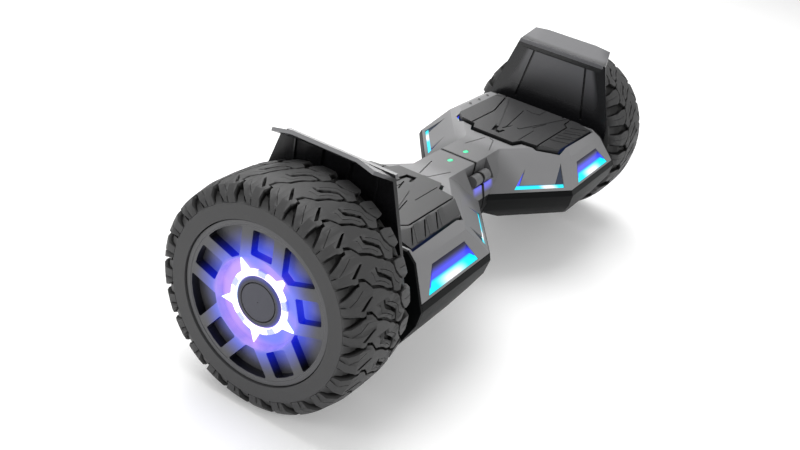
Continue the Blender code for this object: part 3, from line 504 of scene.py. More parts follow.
# The groove between two blocks, (mm across, degrees), from the outer shoulder to the middle.
GROOVE = [(-53.4, 2.5), (-45, 0.8), (-40.6, -0.6), (-37.2, -1.8), (-34.5, -2.6), (-31, -2.7),
          (-30, -4.5), (-24, -3.4), (-20, -0.5), (-18, 1.0), (-10, 2.4), (-5, 3.8), (0, 5.9),
          (5, 6.9), (8.5, 8.6), (13.5, 9.9)]
GROOVE_HALF = 0.8                            # degrees
ARM_END = [(16.3, -2.2), (16.5, 1.2), (20.5, 4.6), (24, 6.2), (21, 7.8), (18, 9.9), (13.5, 9.4),
           (9.4, 8.2)]
HOOK = [(9.3, 2.3), (5, 0.2), (0, -1.7), (-5.3, -3.5), (-5.3, -5.0), (-6.4, -5.9), (-7.9, -5.6),
        (-7.9, -2.6), (-6.6, -1.3), (0, 0.6), (5, 2.6), (7, 3.6), (7.3, 6.3)]
LUG_FOOT = [(-38, -4.3), (-45, -4.6), (-53.4, -4.4), (-53.4, -9.1), (-47.5, -9.1), (-47.5, -9.6),
            (-53.4, -9.6)]
DEEP_SLOT = [(-36.3, -6.4), (-32.6, -5.7), (-29, -6.9), (-20.3, -10.1), (-22.7, -10.5), (-28, -9.1),
             (-33, -7.4)]
SIPES = [[(-44, -9.4), (-36, -12.5), (-29, -14.6)],
         [(-14.6, -4.9), (-12.9, -4.3), (-12.1, -0.5), (-5, 0.9), (0, 2.5), (3.8, 4.4)],
         [(-2.8, -4.1), (3.8, -2.6), (9.9, -0.5), (12.2, 0.8), (13.6, 4.6), (18, 6.7)]]
SIPE_WIDTH = 0.55
INNER_LUG = [(18.3, -1.5), (20, -3.3), (27, -3.4), (37.2, -2.2), (53.4, -2.2), (53.4, 5.2), (37.2, 5.6),
             (30, 6.4), (26.5, 5.9), (22, 3.6), (18.6, 0.6)]
INNER_SIPE = [(25, 1.0), (33, 1.6), (45, 1.5)]
OUTER_STEP = [(-39, -3.3), (-53.4, -3.4), (-53.4, 1.8), (-45, 0.1), (-40.6, -1.3)]
INNER_STEP = [(28, 7.6), (37.2, 6.8), (53.4, 6.3), (53.4, 11.7), (37.2, 11.7), (30, 10.2)]
STEP_SHARE = 0.42                            # height of the low steps, as a share of a block's


def block_outline():
    top = [(s, a - PITCH + GROOVE_HALF) for s, a in GROOVE]
    low = [(s, a - GROOVE_HALF) for s, a in reversed(GROOVE) if -35 < s <= 5]
    return top + ARM_END + HOOK + low + LUG_FOOT


print("one block has", len(block_outline()), "corners")

# %% Wrapping the drawing onto the crown
# Sections of the tread, (mm across, radius in mm) by the distance along the crown.
CROWN = [(0, 0, 108.0), (20, 20, 107.6), (37.2, 37, 104.5), (45, 42.5, 98.3), (53.4, 43, 90.4)]
ROOT = [(0, 0, 103.4), (20, 19.5, 102.8), (37.2, 33.5, 98.2), (45, 38.6, 93.4), (53.4, 42.3, 89.8)]


def on_section(section, distance):
    """Point of a section at a distance along the crown, mirrored for the other shoulder."""
    far = min(abs(distance), section[-1][0])
    for (d0, x0, r0), (d1, x1, r1) in zip(section, section[1:]):
        if far <= d1:
            share = (far - d0) / (d1 - d0)
            return math.copysign(x0 + (x1 - x0) * share, distance), r0 + (r1 - r0) * share


def wrapped(point, height):
    """From the flat drawing, in millimetres, and a height from 0 to 1, to the wheel."""
    top = Vector(on_section(CROWN, point.x))
    root = Vector(on_section(ROOT, point.x))
    across, radius = root + (top - root) * height
    angle = math.radians(point.y / ARC_MM)
    return AXLE + Vector((across, -radius * math.sin(angle), radius * math.cos(angle))) * MM


def tread_piece(outlines, height):
    """A block with its slots, as a filled curve that is cut into a grid and wrapped."""
    curve = bpy.data.curves.new("block", "CURVE")
    curve.dimensions, curve.fill_mode, curve.extrude = "2D", "BOTH", 0.5
    for outline in outlines:
        spline = curve.splines.new("POLY")
        spline.points.add(len(outline) - 1)
        for point, (s, arc) in zip(spline.points, outline):
            point.co = (s, arc, 0, 1)
        spline.use_cyclic_u = True
    drawn = bpy.data.objects.new("block", curve)
    bpy.context.scene.collection.objects.link(drawn)
    graph = bpy.context.evaluated_depsgraph_get()
    bm = bmesh.new()
    bm.from_mesh(bpy.data.meshes.new_from_object(drawn.evaluated_get(graph), depsgraph=graph))
    bpy.data.objects.remove(drawn, do_unlink=True)
    bmesh.ops.remove_doubles(bm, verts=bm.verts, dist=1e-3)
    bmesh.ops.dissolve_limit(bm, angle_limit=0.01, verts=bm.verts, edges=bm.edges)
    lines = [((s, 0, 0), (1, 0, 0)) for s in (-45, -37.2, -20, 0, 20, 37.2, 45)]
    lines += [((0, a * ARC_MM, 0), (0, 1, 0)) for a in range(-18, 15, 3)]
    for place, across in lines:
        geometry = [*bm.verts, *bm.edges, *bm.faces]
        bmesh.ops.bisect_plane(bm, geom=geometry, plane_co=place, plane_no=across, dist=1e-4)
    for vert in bm.verts:
        vert.co = wrapped(vert.co, height * (vert.co.z + 0.5) - 0.25 * (0.5 - vert.co.z))
    return new_object("block", bm)


def in_mm(outline):
    return [(s, a * ARC_MM) for s, a in outline]


def make_pitch():
    """One pitch of tread: the block, the inner lug and the two low steps, as one object."""
    sipes = [stroke(in_mm(line), SIPE_WIDTH) for line in SIPES]
    pieces = [tread_piece([in_mm(block_outline()), in_mm(DEEP_SLOT), *sipes], 1.0),
              tread_piece([in_mm(INNER_LUG), stroke(in_mm(INNER_SIPE), SIPE_WIDTH)], 1.0),
              tread_piece([in_mm(OUTER_STEP)], STEP_SHARE), tread_piece([in_mm(INNER_STEP)], STEP_SHARE)]
    return bevelled(joined("pitch", pieces), 0.3 * MM, segments=1, limit=40)


pitch = make_pitch()
print("one pitch of tread has", len(pitch.data.polygons), "faces")

# %% [markdown]
# ### Turning the copies with Geometry Nodes
#
# A tree that carries one shape round an axle is useful more than once, so its count, its axle and its
# material are named inputs. The copies are instances until Realize Instances makes them mesh, and
# every tree here ends in the same way.

# %% How each tree starts, ends and is run


def started(name, **inputs):
    """A tree with named inputs, and the node that hands them out."""
    tree = bpy.data.node_groups.new(name, "GeometryNodeTree")
    for label, kind in inputs.items():
        tree.interface.new_socket(label, in_out="INPUT", socket_type="NodeSocket" + kind)
    tree.interface.new_socket("Geometry", in_out="OUTPUT", socket_type="NodeSocketGeometry")
    return tree, tree.nodes.new("NodeGroupInput")


def ended(tree, given, copies):
    """Makes the copies real and gives them the material."""
    nodes, links = tree.nodes, tree.links
    real, paint = nodes.new("GeometryNodeRealizeInstances"), nodes.new("GeometryNodeSetMaterial")
    links.new(copies.outputs[0], real.inputs[0])
    links.new(real.outputs[0], paint.inputs["Geometry"])
    links.new(given.outputs["Material"], paint.inputs["Material"])
    links.new(paint.outputs[0], nodes.new("NodeGroupOutput").inputs[0])
    print(tree.name, "has", len(nodes), "nodes")
    return tree


def nodes_applied(obj, tree, **values):
    """Runs a tree on an object with its inputs set by their identifiers, and keeps the mesh."""
    modifier = obj.modifiers.new("nodes", "NODES")
    modifier.node_group = tree
    for item in tree.interface.items_tree:
        if item.item_type == "SOCKET" and item.in_out == "INPUT" and item.name in values:
            modifier[item.identifier] = values[item.name]
    return applied(obj)


# %% A tree that repeats a shape round an axle


def round_axle_tree():
    tree, given = started("round_an_axle", Geometry="Geometry", Count="Int", Axle="Vector",
                          Material="Material")
    nodes, links = tree.nodes, tree.links
    home = nodes.new("GeometryNodeTransform")
    away = nodes.new("ShaderNodeVectorMath")
    away.operation = "SCALE"
    away.inputs["Scale"].default_value = -1
    links.new(given.outputs["Axle"], away.inputs[0])
    links.new(given.outputs["Geometry"], home.inputs["Geometry"])
    links.new(away.outputs[0], home.inputs["Translation"])

    points = nodes.new("GeometryNodePoints")
    links.new(given.outputs["Count"], points.inputs["Count"])
    links.new(given.outputs["Axle"], points.inputs["Position"])

    turn, angle = nodes.new("ShaderNodeMath"), nodes.new("ShaderNodeMath")
    turn.operation, angle.operation = "DIVIDE", "MULTIPLY"
    turn.inputs[0].default_value = math.tau
    links.new(given.outputs["Count"], turn.inputs[1])
    links.new(nodes.new("GeometryNodeInputIndex").outputs[0], angle.inputs[0])
    links.new(turn.outputs[0], angle.inputs[1])
    rotation = nodes.new("ShaderNodeCombineXYZ")
    links.new(angle.outputs[0], rotation.inputs["X"])

    place = nodes.new("GeometryNodeInstanceOnPoints")
    links.new(points.outputs[0], place.inputs["Points"])
    links.new(home.outputs[0], place.inputs["Instance"])
    links.new(rotation.outputs[0], place.inputs["Rotation"])
    return ended(tree, given, place)


ROUND_AXLE = round_axle_tree()

# %% [markdown]
# ### Screws under the casings
#
# The two mouldings of each half are held by six screws from below. One head with its hexagon socket
# is drawn once, and a second tree sets a copy on every point of a list of places.

# %% Screw heads on a list of places
SCREW_R, SOCKET_R = 3.3 * MM, 1.7 * MM
SCREW_PLACES = [(-140, 26), (-140, -26), (-180, 61), (-180, -61), (-229, 61), (-229, -61)]   # mm
UNDERSIDE_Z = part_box("bottom_shell_l")[0].z
SCREW_BLACK = grained("screw_black", (0.03, 0.03, 0.032), 0.35, lumps=900)


def on_places_tree():
    tree, given = started("on_places", Places="Geometry", Fastener="Object", Scale="Float",
                          Material="Material")
    nodes, links = tree.nodes, tree.links
    fastener, place = nodes.new("GeometryNodeObjectInfo"), nodes.new("GeometryNodeInstanceOnPoints")
    links.new(given.outputs["Fastener"], fastener.inputs["Object"])
    links.new(given.outputs["Places"], place.inputs["Points"])
    links.new(fastener.outputs["Geometry"], place.inputs["Instance"])
    links.new(given.outputs["Scale"], place.inputs["Scale"])
    return ended(tree, given, place)


def regular(corners, radius):
    return [(radius * math.cos(math.tau * i / corners), radius * math.sin(math.tau * i / corners))
            for i in range(corners)]


def make_screws():
    head = extruded(regular(24, SCREW_R), -0.9 * MM, 0.6 * MM)
    combined(head, [extruded(regular(6, SOCKET_R), -2 * MM, 0.1 * MM)])
    bevelled(head, 0.2 * MM, limit=40)
    mesh = bpy.data.meshes.new("screws")
    mesh.from_pydata([(x * MM, y * MM, UNDERSIDE_Z) for x, y in SCREW_PLACES], [], [])
    screws = bpy.data.objects.new("screws", mesh)
    bpy.context.scene.collection.objects.link(screws)
    nodes_applied(screws, on_places_tree(), Fastener=head, Scale=1.0, Material=SCREW_BLACK.material)
    bpy.data.objects.remove(head, do_unlink=True)
    both(screws, "casing_screws", HALVES, SCREW_BLACK, "steel")


make_screws()

# %% [markdown]
# ### Carcass and rubber
#
# Under the blocks lies the carcass, a turned section with a flat sidewall. The rubber is a dark grey
# that is never black in daylight, but the grooves see little light. A sum of fourth powers follows
# the rounded crown of the tread, so one number says how far below the blocks a point lies. By that
# number the grooves get a painted shade, near black, and the block tops a painted light, paler.

# %% Rubber and a lathe
AXLE_X = abs(AXLE.x)
# Shares of the rubber's colour: block tops lighter as painted light, grooves in painted shade, and a
# paler sidewall.
LIT_TOPS, GROOVE_SHADE, SIDEWALL = 1.30, 0.10, 1.7     # shades of the rubber, as shares of its colour
DUST = (0.10, 0.097, 0.092)
HUB_R_MM = 75.6


def lathe(profile, centre, steps=144):
    """Turns a closed (x, radius) profile about a wheel's axle; x is measured from the centre."""
    bm = bmesh.new()
    loops = []
    for i in range(steps):
        angle = math.tau * i / steps
        loops.append([bm.verts.new(centre + Vector((x, -r * math.sin(angle), r * math.cos(angle))) * MM)
                      for x, r in profile])
    for loop, after in zip(loops, loops[1:] + loops[:1]):
        for i in range(len(profile)):
            j = (i + 1) % len(profile)
            bm.faces.new((loop[i], loop[j], after[j], after[i]))
    return new_object("lathe", bm)


def off_axle(finish):
    """Distance from the axle's line, in metres."""
    high = finish.z - AXLE.z
    return (finish.y * finish.y + high * high) ** 0.5


def rubber(name, colour, roughness):
    finish = Finish(name, colour, roughness, specular=0.28)
    across_share = abs(abs(finish.x) - AXLE_X) * (1 / 0.0435)
    height_share = (off_axle(finish) - 0.080) * (1 / 0.028)
    crown = finish.step(across_share ** 4 + height_share ** 4, 0.74, 0.93)
    clouds = finish.noise(45, 4)
    fine = finish.noise(1300, 2)
    lit_tops, deep, sidewall = (tuple(c * share for c in colour) for share in (LIT_TOPS, GROOVE_SHADE, SIDEWALL))
    # Painted light and shade by depth: block tops lighter, grooves near black.
    body = finish.mix(crown, deep, lit_tops)
    body = finish.mix(finish.step(off_axle(finish), 0.0915, 0.0900), body, sidewall)
    finish.set("Base Color", finish.mix(clouds * 0.10, body, DUST))
    finish.set("Roughness", roughness - 0.06 + clouds * 0.14)
    finish.relief(fine, 0.00008, 0.6)
    return finish


TYRE_RUBBER = rubber("tyre_rubber", (0.030, 0.030, 0.0305), 0.54)
print("the tyre's axle is at x =", round(AXLE.x, 4))

# %% The tyre


def make_tyres():
    half = [(-43.0, HUB_R_MM + 0.4), (-43.0, 89.6), (-42.5, 90.1)]
    half += [(-x, r) for _, x, r in reversed(ROOT[1:4])]
    profile = half + [(0, ROOT[0][2])] + [(-x, r) for x, r in reversed(half)]
    carcass = lathe(profile, AXLE)
    tread = nodes_applied(pitch, ROUND_AXLE, Count=PITCHES, Axle=AXLE, Material=TYRE_RUBBER.material)
    tyre = smooth(joined("tyre", [carcass, tread]))
    both(tyre, "tyre_tread", WHEELS, TYRE_RUBBER, "tyre_rubber", "tyre")


make_tyres()

# %% [markdown]
# ## Hub cover
#
# Each wheel's cover has five pairs of straight parallel spokes. Between the two spokes of a pair is a
# straight pocket, and between pairs is a wedge. Cutting both kinds out of a turned disc keeps every
# spoke the same width, as on the real moulding. The sunk ring of light in the middle washes the
# spokes and the pocket floors with blue, which the finish paints as a glow that fades by the distance
# from the axle. The pocket walls get a painted shade, near black.

# %% The turned disc and its pockets
HUB_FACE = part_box("hub_cover_l")[0].x
HUB_CENTRE = Vector((HUB_FACE, 0, AXLE.z))
FIRST_STAR = 54                  # degrees from the front towards the top
POCKET_DEPTH = 10                # mm
SPOKE_NEAR, SPOKE_FAR = 11.0, 22.0     # mm from the middle line of a pair to a spoke's two sides
POCKET_INNER, POCKET_OUTER, WEDGE_OUTER = 43.5, 68.0, 70.0
STARS = 5
ARC_STEPS = 4                    # edges in a rounded corner


def rounded(outline, radius):
    """Rounds each corner of an outline with an arc that touches both its sides."""
    made = []
    for i, corner in enumerate(outline):
        here = Vector(corner)
        before = (Vector(outline[i - 1]) - here).normalized()
        after = (Vector(outline[(i + 1) % len(outline)]) - here).normalized()
        half = before.angle(after) / 2
        reach = radius / math.tan(half)
        if half > math.radians(85):
            made.append(tuple(here))
            continue
        centre = here + (before + after).normalized() * (radius / math.sin(half))
        start, end = here + before * reach - centre, here + after * reach - centre
        turn = start.angle_signed(end)
        for k in range(ARC_STEPS + 1):
            angle = -turn * k / ARC_STEPS
            arc = Vector((start.x * math.cos(angle) - start.y * math.sin(angle),
                          start.x * math.sin(angle) + start.y * math.cos(angle)))
            made.append(tuple(centre + arc))
    return made


def arc_point(radius, offset):
    """Point of a circle that lies a distance to the side of the middle line."""
    return math.sqrt(radius ** 2 - offset ** 2), offset


def straight_pocket():
    rim = [arc_point(POCKET_OUTER, offset) for offset in (-SPOKE_NEAR, 0, SPOKE_NEAR)]
    return rounded([(POCKET_INNER, -SPOKE_NEAR), *rim, (POCKET_INNER, SPOKE_NEAR)], 1.8)


def wedge_pocket():
    """Between two pairs: its sides are the far sides of the spokes on either hand."""
    turn = math.pi / STARS
    x, y = arc_point(WEDGE_OUTER, SPOKE_FAR)
    rim = (x * math.cos(turn) + y * math.sin(turn), x * math.sin(turn) - y * math.cos(turn))
    spread = math.atan2(rim[1], rim[0])
    low = (POCKET_INNER, (POCKET_INNER - SPOKE_FAR / math.sin(turn)) * math.tan(turn))
    arc = [(WEDGE_OUTER * math.cos(spread * k), WEDGE_OUTER * math.sin(spread * k))
           for k in (-1, -0.5, 0, 0.5, 1)]
    return rounded([(low[0], -low[1]), *arc, low], 1.6)


def pocket_cutter(outline, degrees):
    """A prism through the face of the left hub, turned to its angle."""
    cutter = extruded([(a * MM, b * MM) for a, b in outline], -4 * MM, POCKET_DEPTH * MM)
    stand = Matrix(((0, 0, 1), (-1, 0, 0), (0, 1, 0))).to_4x4()
    spin = Matrix.Rotation(math.radians(degrees), 4, "Z")
    cutter.data.transform(Matrix.Translation(HUB_CENTRE) @ stand @ spin)
    bm = bmesh.new()
    bm.from_mesh(cutter.data)
    bmesh.ops.recalc_face_normals(bm, faces=bm.faces)
    bm.to_mesh(cutter.data)
    bm.free()
    return cutter


print("corners of a straight and a wedge pocket:", len(straight_pocket()), len(wedge_pocket()))

# %% Grey plastic with painted light from the ring in the middle
HUB_COLOUR, HUB_ROUGHNESS = (0.064, 0.064, 0.067), 0.38
POCKET_WALL_SHADE = (0.004, 0.004, 0.005)
NEAR_BLUE, WALL_BLUE, HOT_BLUE = (0.085, 0.13, 1.0), (0.0, 0.01, 0.75), (0.16, 0.20, 1.0)
HOT_PINK = (0.85, 0.42, 0.95)


def hub_shine():
    """Pocket walls get a painted shade, near black, and the painted glow fades by the distance from the
    axle.
    """
    finish = Finish("hub_grey", HUB_COLOUR, HUB_ROUGHNESS)
    fine = finish.noise(1500, 2)
    depth = abs(finish.x) * -1 + abs(HUB_FACE)
    # Painted shade, near black, on the pocket walls.
    wall = finish.step(depth, 0.0009, 0.0014) * finish.step(depth, 0.0099, 0.0096)
    radius = off_axle(finish)
    wall = wall * finish.step(radius, 0.0425, 0.0430)
    finish.set("Base Color", finish.mix(wall, HUB_COLOUR, POCKET_WALL_SHADE))
    finish.set("Roughness", HUB_ROUGHNESS - 0.02 + fine * 0.04)
    # Painted glow: the blue and pink wash of the ring's light, fading outwards.
    patches = finish.noise(34, 3)
    near = finish.step(radius + patches * 0.010, 0.0740, 0.0420)
    hot = finish.step(radius + patches * 0.012, 0.0530, 0.0430)
    blue = finish.mix(wall, NEAR_BLUE, WALL_BLUE)
    pink = finish.mix(finish.step(finish.noise(21, 1), 0.42, 0.60), HOT_BLUE, HOT_PINK)
    shine = finish.mix(hot * 0.6 * (1 - wall * 0.75), blue, pink)
    finish.glow(finish.mix(near ** 1.5, (0, 0, 0), shine), 0.9)
    finish.relief(fine, GRAIN_DEPTH, 0.5)
    return finish


HUB_GREY = hub_shine()
print("the wheel's face is at x =", round(HUB_FACE, 4))

# %% The hub cover


def make_hub():
    profile = [(0, HUB_R_MM - 0.9), (0.5, HUB_R_MM - 0.3), (13, HUB_R_MM - 0.3), (13, 3), (7, 3),
               (7, 41), (0.6, 42.5), (0.6, 70.6), (0, 71.2)]
    disc = lathe(profile, HUB_CENTRE)
    cutters = []
    for k in range(STARS):
        star = FIRST_STAR + 360 / STARS * k
        cutters.append(pocket_cutter(wedge_pocket(), star))
        cutters.append(pocket_cutter(straight_pocket(), star + 180 / STARS))
    combined(disc, cutters)
    bm = bmesh.new()
    bm.from_mesh(disc.data)
    bmesh.ops.remove_doubles(bm, verts=bm.verts, dist=1e-5)
    bmesh.ops.dissolve_limit(bm, angle_limit=math.radians(0.3), verts=bm.verts, edges=bm.edges)
    bm.to_mesh(disc.data)
    bm.free()
    disc = bevelled(disc, 0.4 * MM, limit=40)
    both(disc, "spoked_cover", WHEELS, HUB_GREY, "hub_grey", "hub_cover")


make_hub()

# %% [markdown]
# ### Ring of light and cap
#
# The light guide is a milky ring with five points. It is driven so hard that it shows white, with
# only a trace of colour at its ends and bluer gaps where the guide is clipped to the hub. The cap in
# its middle is a plain disc with one turned line, which gets a painted shade, near black. Its collar
# is darker and bluer and carries a painted blue glow from the ring.

# %% Finishes of the lit ring and the cap
RING_MIDDLE = 27.2 * MM
CLIP_TURN = math.radians(18)


def lit_ring():
    finish = Finish("light_hub", (0.55, 0.6, 0.9), 0.2, coat=0.3)
    radius = off_axle(finish)
    tint = finish.noise(26, 1)
    white = finish.mix(finish.step(tint, 0.40, 0.62), (0.62, 0.95, 1.0), (1.0, 0.74, 0.95))
    core = finish.step(abs(radius - RING_MIDDLE), 0.0030, 0.0016)
    ends = finish.mix(core, white, (1.0, 1.0, 1.0))
    up, forward = finish.z - AXLE.z, finish.y * -1
    turn = finish.node("ShaderNodeMath", {"operation": "ARCTAN2"}, {0: up, 1: forward})
    wave = finish.node("ShaderNodeMath", {"operation": "COSINE"}, {0: (turn - CLIP_TURN) * STARS})
    clip = finish.step(wave, 0.58, 0.80) * finish.step(radius, 0.0243, 0.0250)
    finish.glow(finish.mix(clip, ends, (0.01, 0.015, 0.22)), 1.8)
    return finish


def cap_plastic():
    finish = Finish("cap_grey", (0.075, 0.076, 0.085), 0.42)
    radius = off_axle(finish)
    fine = finish.noise(1500, 2)
    # Painted shade, near black, in the turned line.
    line = finish.step(abs(radius - 0.0180), 0.0009, 0.0005)
    collar = finish.step(radius, 0.0188, 0.0215)
    shade = finish.mix(collar, (0.040, 0.041, 0.056), (0.022, 0.024, 0.055))
    finish.set("Base Color", finish.mix(line, shade, (0.006, 0.006, 0.008)))
    # Painted glow: the ring's blue light on the cap's collar.
    lit = collar * finish.step(radius, 0.0195, 0.0236)
    finish.glow(finish.mix(lit, (0, 0, 0), (0.10, 0.11, 0.55)), 0.45)
    finish.relief(fine, GRAIN_DEPTH, 0.5)
    return finish


LIT_RING = lit_ring()
CAP_GREY = cap_plastic()
print("the ring is brightest at a radius of", RING_MIDDLE)

# %% The lit ring and the cap


def make_ring_and_cap():
    ring = bevelled(welded("hub_light_l"), 0.25 * MM, segments=1, limit=35)
    both(ring, "light_ring", WHEELS, LIT_RING, "light_hub", "hub_light")
    cap_low, cap_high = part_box("hub_cap_l")
    face = (cap_low.x - HUB_FACE) / MM
    back = (cap_high.x - HUB_FACE) / MM
    profile = [(face, 0.4), (face, 17.4), (face + 0.8, 18.0), (face, 18.6), (face, 22.0),
               (face + 1.0, 23.3), (back, 23.3), (back, 0.4)]
    cap = lathe(profile, HUB_CENTRE, 96)
    both(bevelled(cap, 0.2 * MM, limit=40), "centre_cap", WHEELS, CAP_GREY, "hub_grey", "hub_cap")


make_ring_and_cap()

# %% [markdown]
# ## Foot pads
#
# A pad is a thick rubber moulding that stands proud of the casing. Its field is crossed by low
# folded ridges, the bar along its front edge slopes away with three slanted blocks, and slots hold
# the foot. The field and bar start as the frame's pad. Grooves are cut and ridges are joined, so the
# relief is real, and the rubber gets a fine grain, with a painted shade, near black, on the groove
# floors and low on the pad's sides.

# %% Lines and blocks of the pad
PAD_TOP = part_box("footpad_l")[1].z
# Lines in mm on the left pad, (x, y): cut as grooves, or raised as low ridges.
PAD_GROOVES = [([(-222, -44), (-197, -44.5), (-189, -50.8), (-96, -50.8)], 1.9, 2.4),
               ([(-218, -33), (-211, -37)], 2.4, 2.4), ([(-175, -29), (-147, -23)], 1.2, 2.0),
               ([(-140, -28), (-97, -28)], 1.0, 1.6), ([(-131, -3), (-113, 2)], 1.6, 2.0),
               ([(-190, 10), (-118, 0)], 1.1, 1.6), ([(-222, 49), (-157, 35), (-97, 35)], 1.9, 2.4),
               ([(-212, 52), (-205, 62)], 1.1, 1.6)]
BAR_SLOTS = [[(-213, -70.5), (-191, -55)], [(-190, -70.5), (-167, -55)], [(-167, -70.5), (-145, -55)]]
PAD_RIDGES = [[(-112, 8), (-216, 44)], [(-128, -12), (-216, -38)]]
PAD_SLOT = [(-119, 12.5), (-96.5, 8.5), (-94.5, -2.5), (-109, -4.5), (-108.5, -1.5),
            (-101.5, -0.2), (-102.5, 4.6), (-118, 8)]
PAD_PLATE = [(-215, -10), (-196, -10), (-193, 0), (-196, 10), (-215, 10)]
BAR_EDGE_Y, BAR_FRONT_Y = -52, -73
BAR_BLOCKS = [(-206, -197), (-183, -174), (-160, -151)]      # mm along the bar, at its front edge
BAR_LEAN = 20                    # mm that each block leans over the bar's width
SLOPE_TOP, SLOPE_FOOT = 0.6, -4.6            # mm above the pad's top, at the edge and past the front
SLOPE_PAST = 2                   # mm that the slope runs on past the front
RIDGE_WIDTH, RIDGE_HEIGHT = 3.2 * MM, 0.8 * MM


def slope_cutter():
    """Takes the front bar down to the slope that its blocks stand on."""
    foot_y = BAR_FRONT_Y - SLOPE_PAST
    section = [(BAR_EDGE_Y, SLOPE_TOP), (foot_y, SLOPE_FOOT), (foot_y, 6), (BAR_EDGE_Y, 6)]
    ends = [[(x * MM, y * MM, PAD_TOP + z * MM) for y, z in section] for x in (-230, -80)]
    return solid("slope", *ends)


def bar_block(low_x, high_x):
    """A slanted block that follows the slope of the bar and stands proud of it."""
    front, back = BAR_FRONT_Y + 1.5, BAR_EDGE_Y - 1.5
    corners = [(low_x, front), (high_x, front), (high_x + BAR_LEAN, back), (low_x + BAR_LEAN, back)]
    fall = (SLOPE_FOOT - SLOPE_TOP) / (BAR_EDGE_Y - BAR_FRONT_Y + SLOPE_PAST)
    low, high = ([(x * MM, y * MM, PAD_TOP + (SLOPE_TOP + (BAR_EDGE_Y - y) * fall + off) * MM)
                  for x, y in corners] for off in (-1.5, 0.7))
    return solid("bar_block", low, high)


print(len(PAD_GROOVES), "grooves and", len(BAR_BLOCKS), "blocks on each pad")

# %% Pad shapes


def make_pads():
    pad = welded("footpad_l")
    slot, plate = ([(x * MM, y * MM) for x, y in outline] for outline in (PAD_SLOT, PAD_PLATE))
    sunk, proud = PAD_TOP - 0.5 * MM, PAD_TOP + RIDGE_HEIGHT
    cutters = [slope_cutter(), extruded(slot, PAD_TOP - 3 * MM, PAD_TOP + MM)]
    for line, width, depth in PAD_GROOVES:
        cutters += line_cutters([line], width * MM, depth * MM, PAD_TOP)
    cutters += line_cutters(BAR_SLOTS, 1.5 * MM, 6.2 * MM, PAD_TOP)
    combined(pad, cutters)
    raised = [bar_block(*ends) for ends in BAR_BLOCKS]
    raised += [extruded(stroke([(x * MM, y * MM) for x, y in line], RIDGE_WIDTH), sunk, proud)
               for line in PAD_RIDGES]
    raised.append(extruded(plate, sunk, proud))
    combined(pad, raised, "UNION")
    both(bevelled(pad, 0.5 * MM), "grip_pad", PADS, PAD_RUBBER, "pad_rubber", "footpad")


def grip_rubber():
    finish = Finish("pad_rubber", (0.030, 0.030, 0.031), 0.42, specular=0.34)
    clouds = finish.noise(16, 3)
    fine = finish.noise(1100, 2)
    behind_bar = finish.y > -0.0517
    # Painted shade, near black, on the groove floors behind the bar and low on the pad's sides.
    groove = finish.step(finish.z, PAD_TOP - 0.0005, PAD_TOP - 0.0011) * behind_bar
    low_side_shade = finish.step(finish.z, PAD_TOP - 0.0048, PAD_TOP - 0.0056)
    field = finish.mix(clouds, (0.025, 0.025, 0.026), (0.034, 0.034, 0.035))
    finish.set("Base Color", finish.mix(groove + low_side_shade, field, (0.0022, 0.0022, 0.0025)))
    finish.set("Roughness", 0.38 + clouds * 0.10)
    finish.relief(fine, 0.00009, 0.7)
    return finish


PAD_RUBBER = grip_rubber()
make_pads()

# %% [markdown]
# ## Fenders
#
# The guard between the rider and the wheel is a tall black moulding whose centre panel stands proud
# between two creases. It leans out into a lip over the tyre, with cut corners. The rider's side is
# smooth and catches more light towards its lip, shown as a painted sheen: its colour pales with
# height there, and the lip is pale too. The wheel side stays black and is stiffened with upright ribs.

# %% Black gloss with a painted sheen towards the lip
FENDER_COLOUR, FENDER_SHEEN, FENDER_ROUGHNESS = (0.0052, 0.0052, 0.0060), (0.082, 0.082, 0.088), 0.23
SHEEN_START, SHEEN_FULL = 0.150, 0.214       # heights


def fender_black():
    finish = Finish("fender_black", FENDER_COLOUR, FENDER_ROUGHNESS, specular=0.46)
    grain(finish, FENDER_ROUGHNESS, 2200)
    rider_side = finish.step(abs(finish.x), 0.2467, 0.2458)
    lip = finish.step(finish.z, 0.222, 0.226)
    # Painted sheen: the rider's side pales with height, and the lip is pale.
    shade = finish.mix(finish.step(finish.z, SHEEN_START, SHEEN_FULL), FENDER_COLOUR, FENDER_SHEEN)
    finish.set("Base Color", finish.mix(finish.math_max(rider_side, lip), FENDER_COLOUR, shade))
    return finish


FENDER_BLACK = fender_black()
print("the guard pales from", SHEEN_START, "to", SHEEN_FULL, "m above the floor")

# %% The fender with its panel and ribs
RIDER_FACE = (0.145, -0.2443), (0.221, -0.2453)      # z, x of the guard's smooth side, low and high
CREASE = [(0.0475, 0.1460), (0.0350, 0.2190)]         # y, z of one side of the panel
CREASE_WIDTH, CREASE_DEPTH = 3.0 * MM, 2.2 * MM
SHADOW_GAP = (0.0560, 0.2115, 0.2182, 2.5 * MM)       # half width, z from, z to, depth
LEDGE = (0.0585, 0.2185, 0.2228, 3.4 * MM)            # half width, z from, z to, how far it stands out
RIBS_Y = (-0.0440, -0.0150, 0.0150, 0.0440)
RIB = (1.6 * MM, 0.150, 0.2225, -0.2505)              # width, z from, z to, x of its free edge


def across(outline, low_x, high_x):
    """A prism along x on an outline of (y, z) points that leans with the guard."""
    prism = extruded(outline, low_x, high_x)
    prism.data.transform(Matrix(((0, 0, 1, 0), (1, 0, 0, 0), (0, 1, 0, 0), (0, 0, 0, 1))))
    (low_z, face_low), (high_z, face_high) = RIDER_FACE
    for vert in prism.data.vertices:
        vert.co.x += (vert.co.z - low_z) * (face_high - face_low) / (high_z - low_z)
    return prism


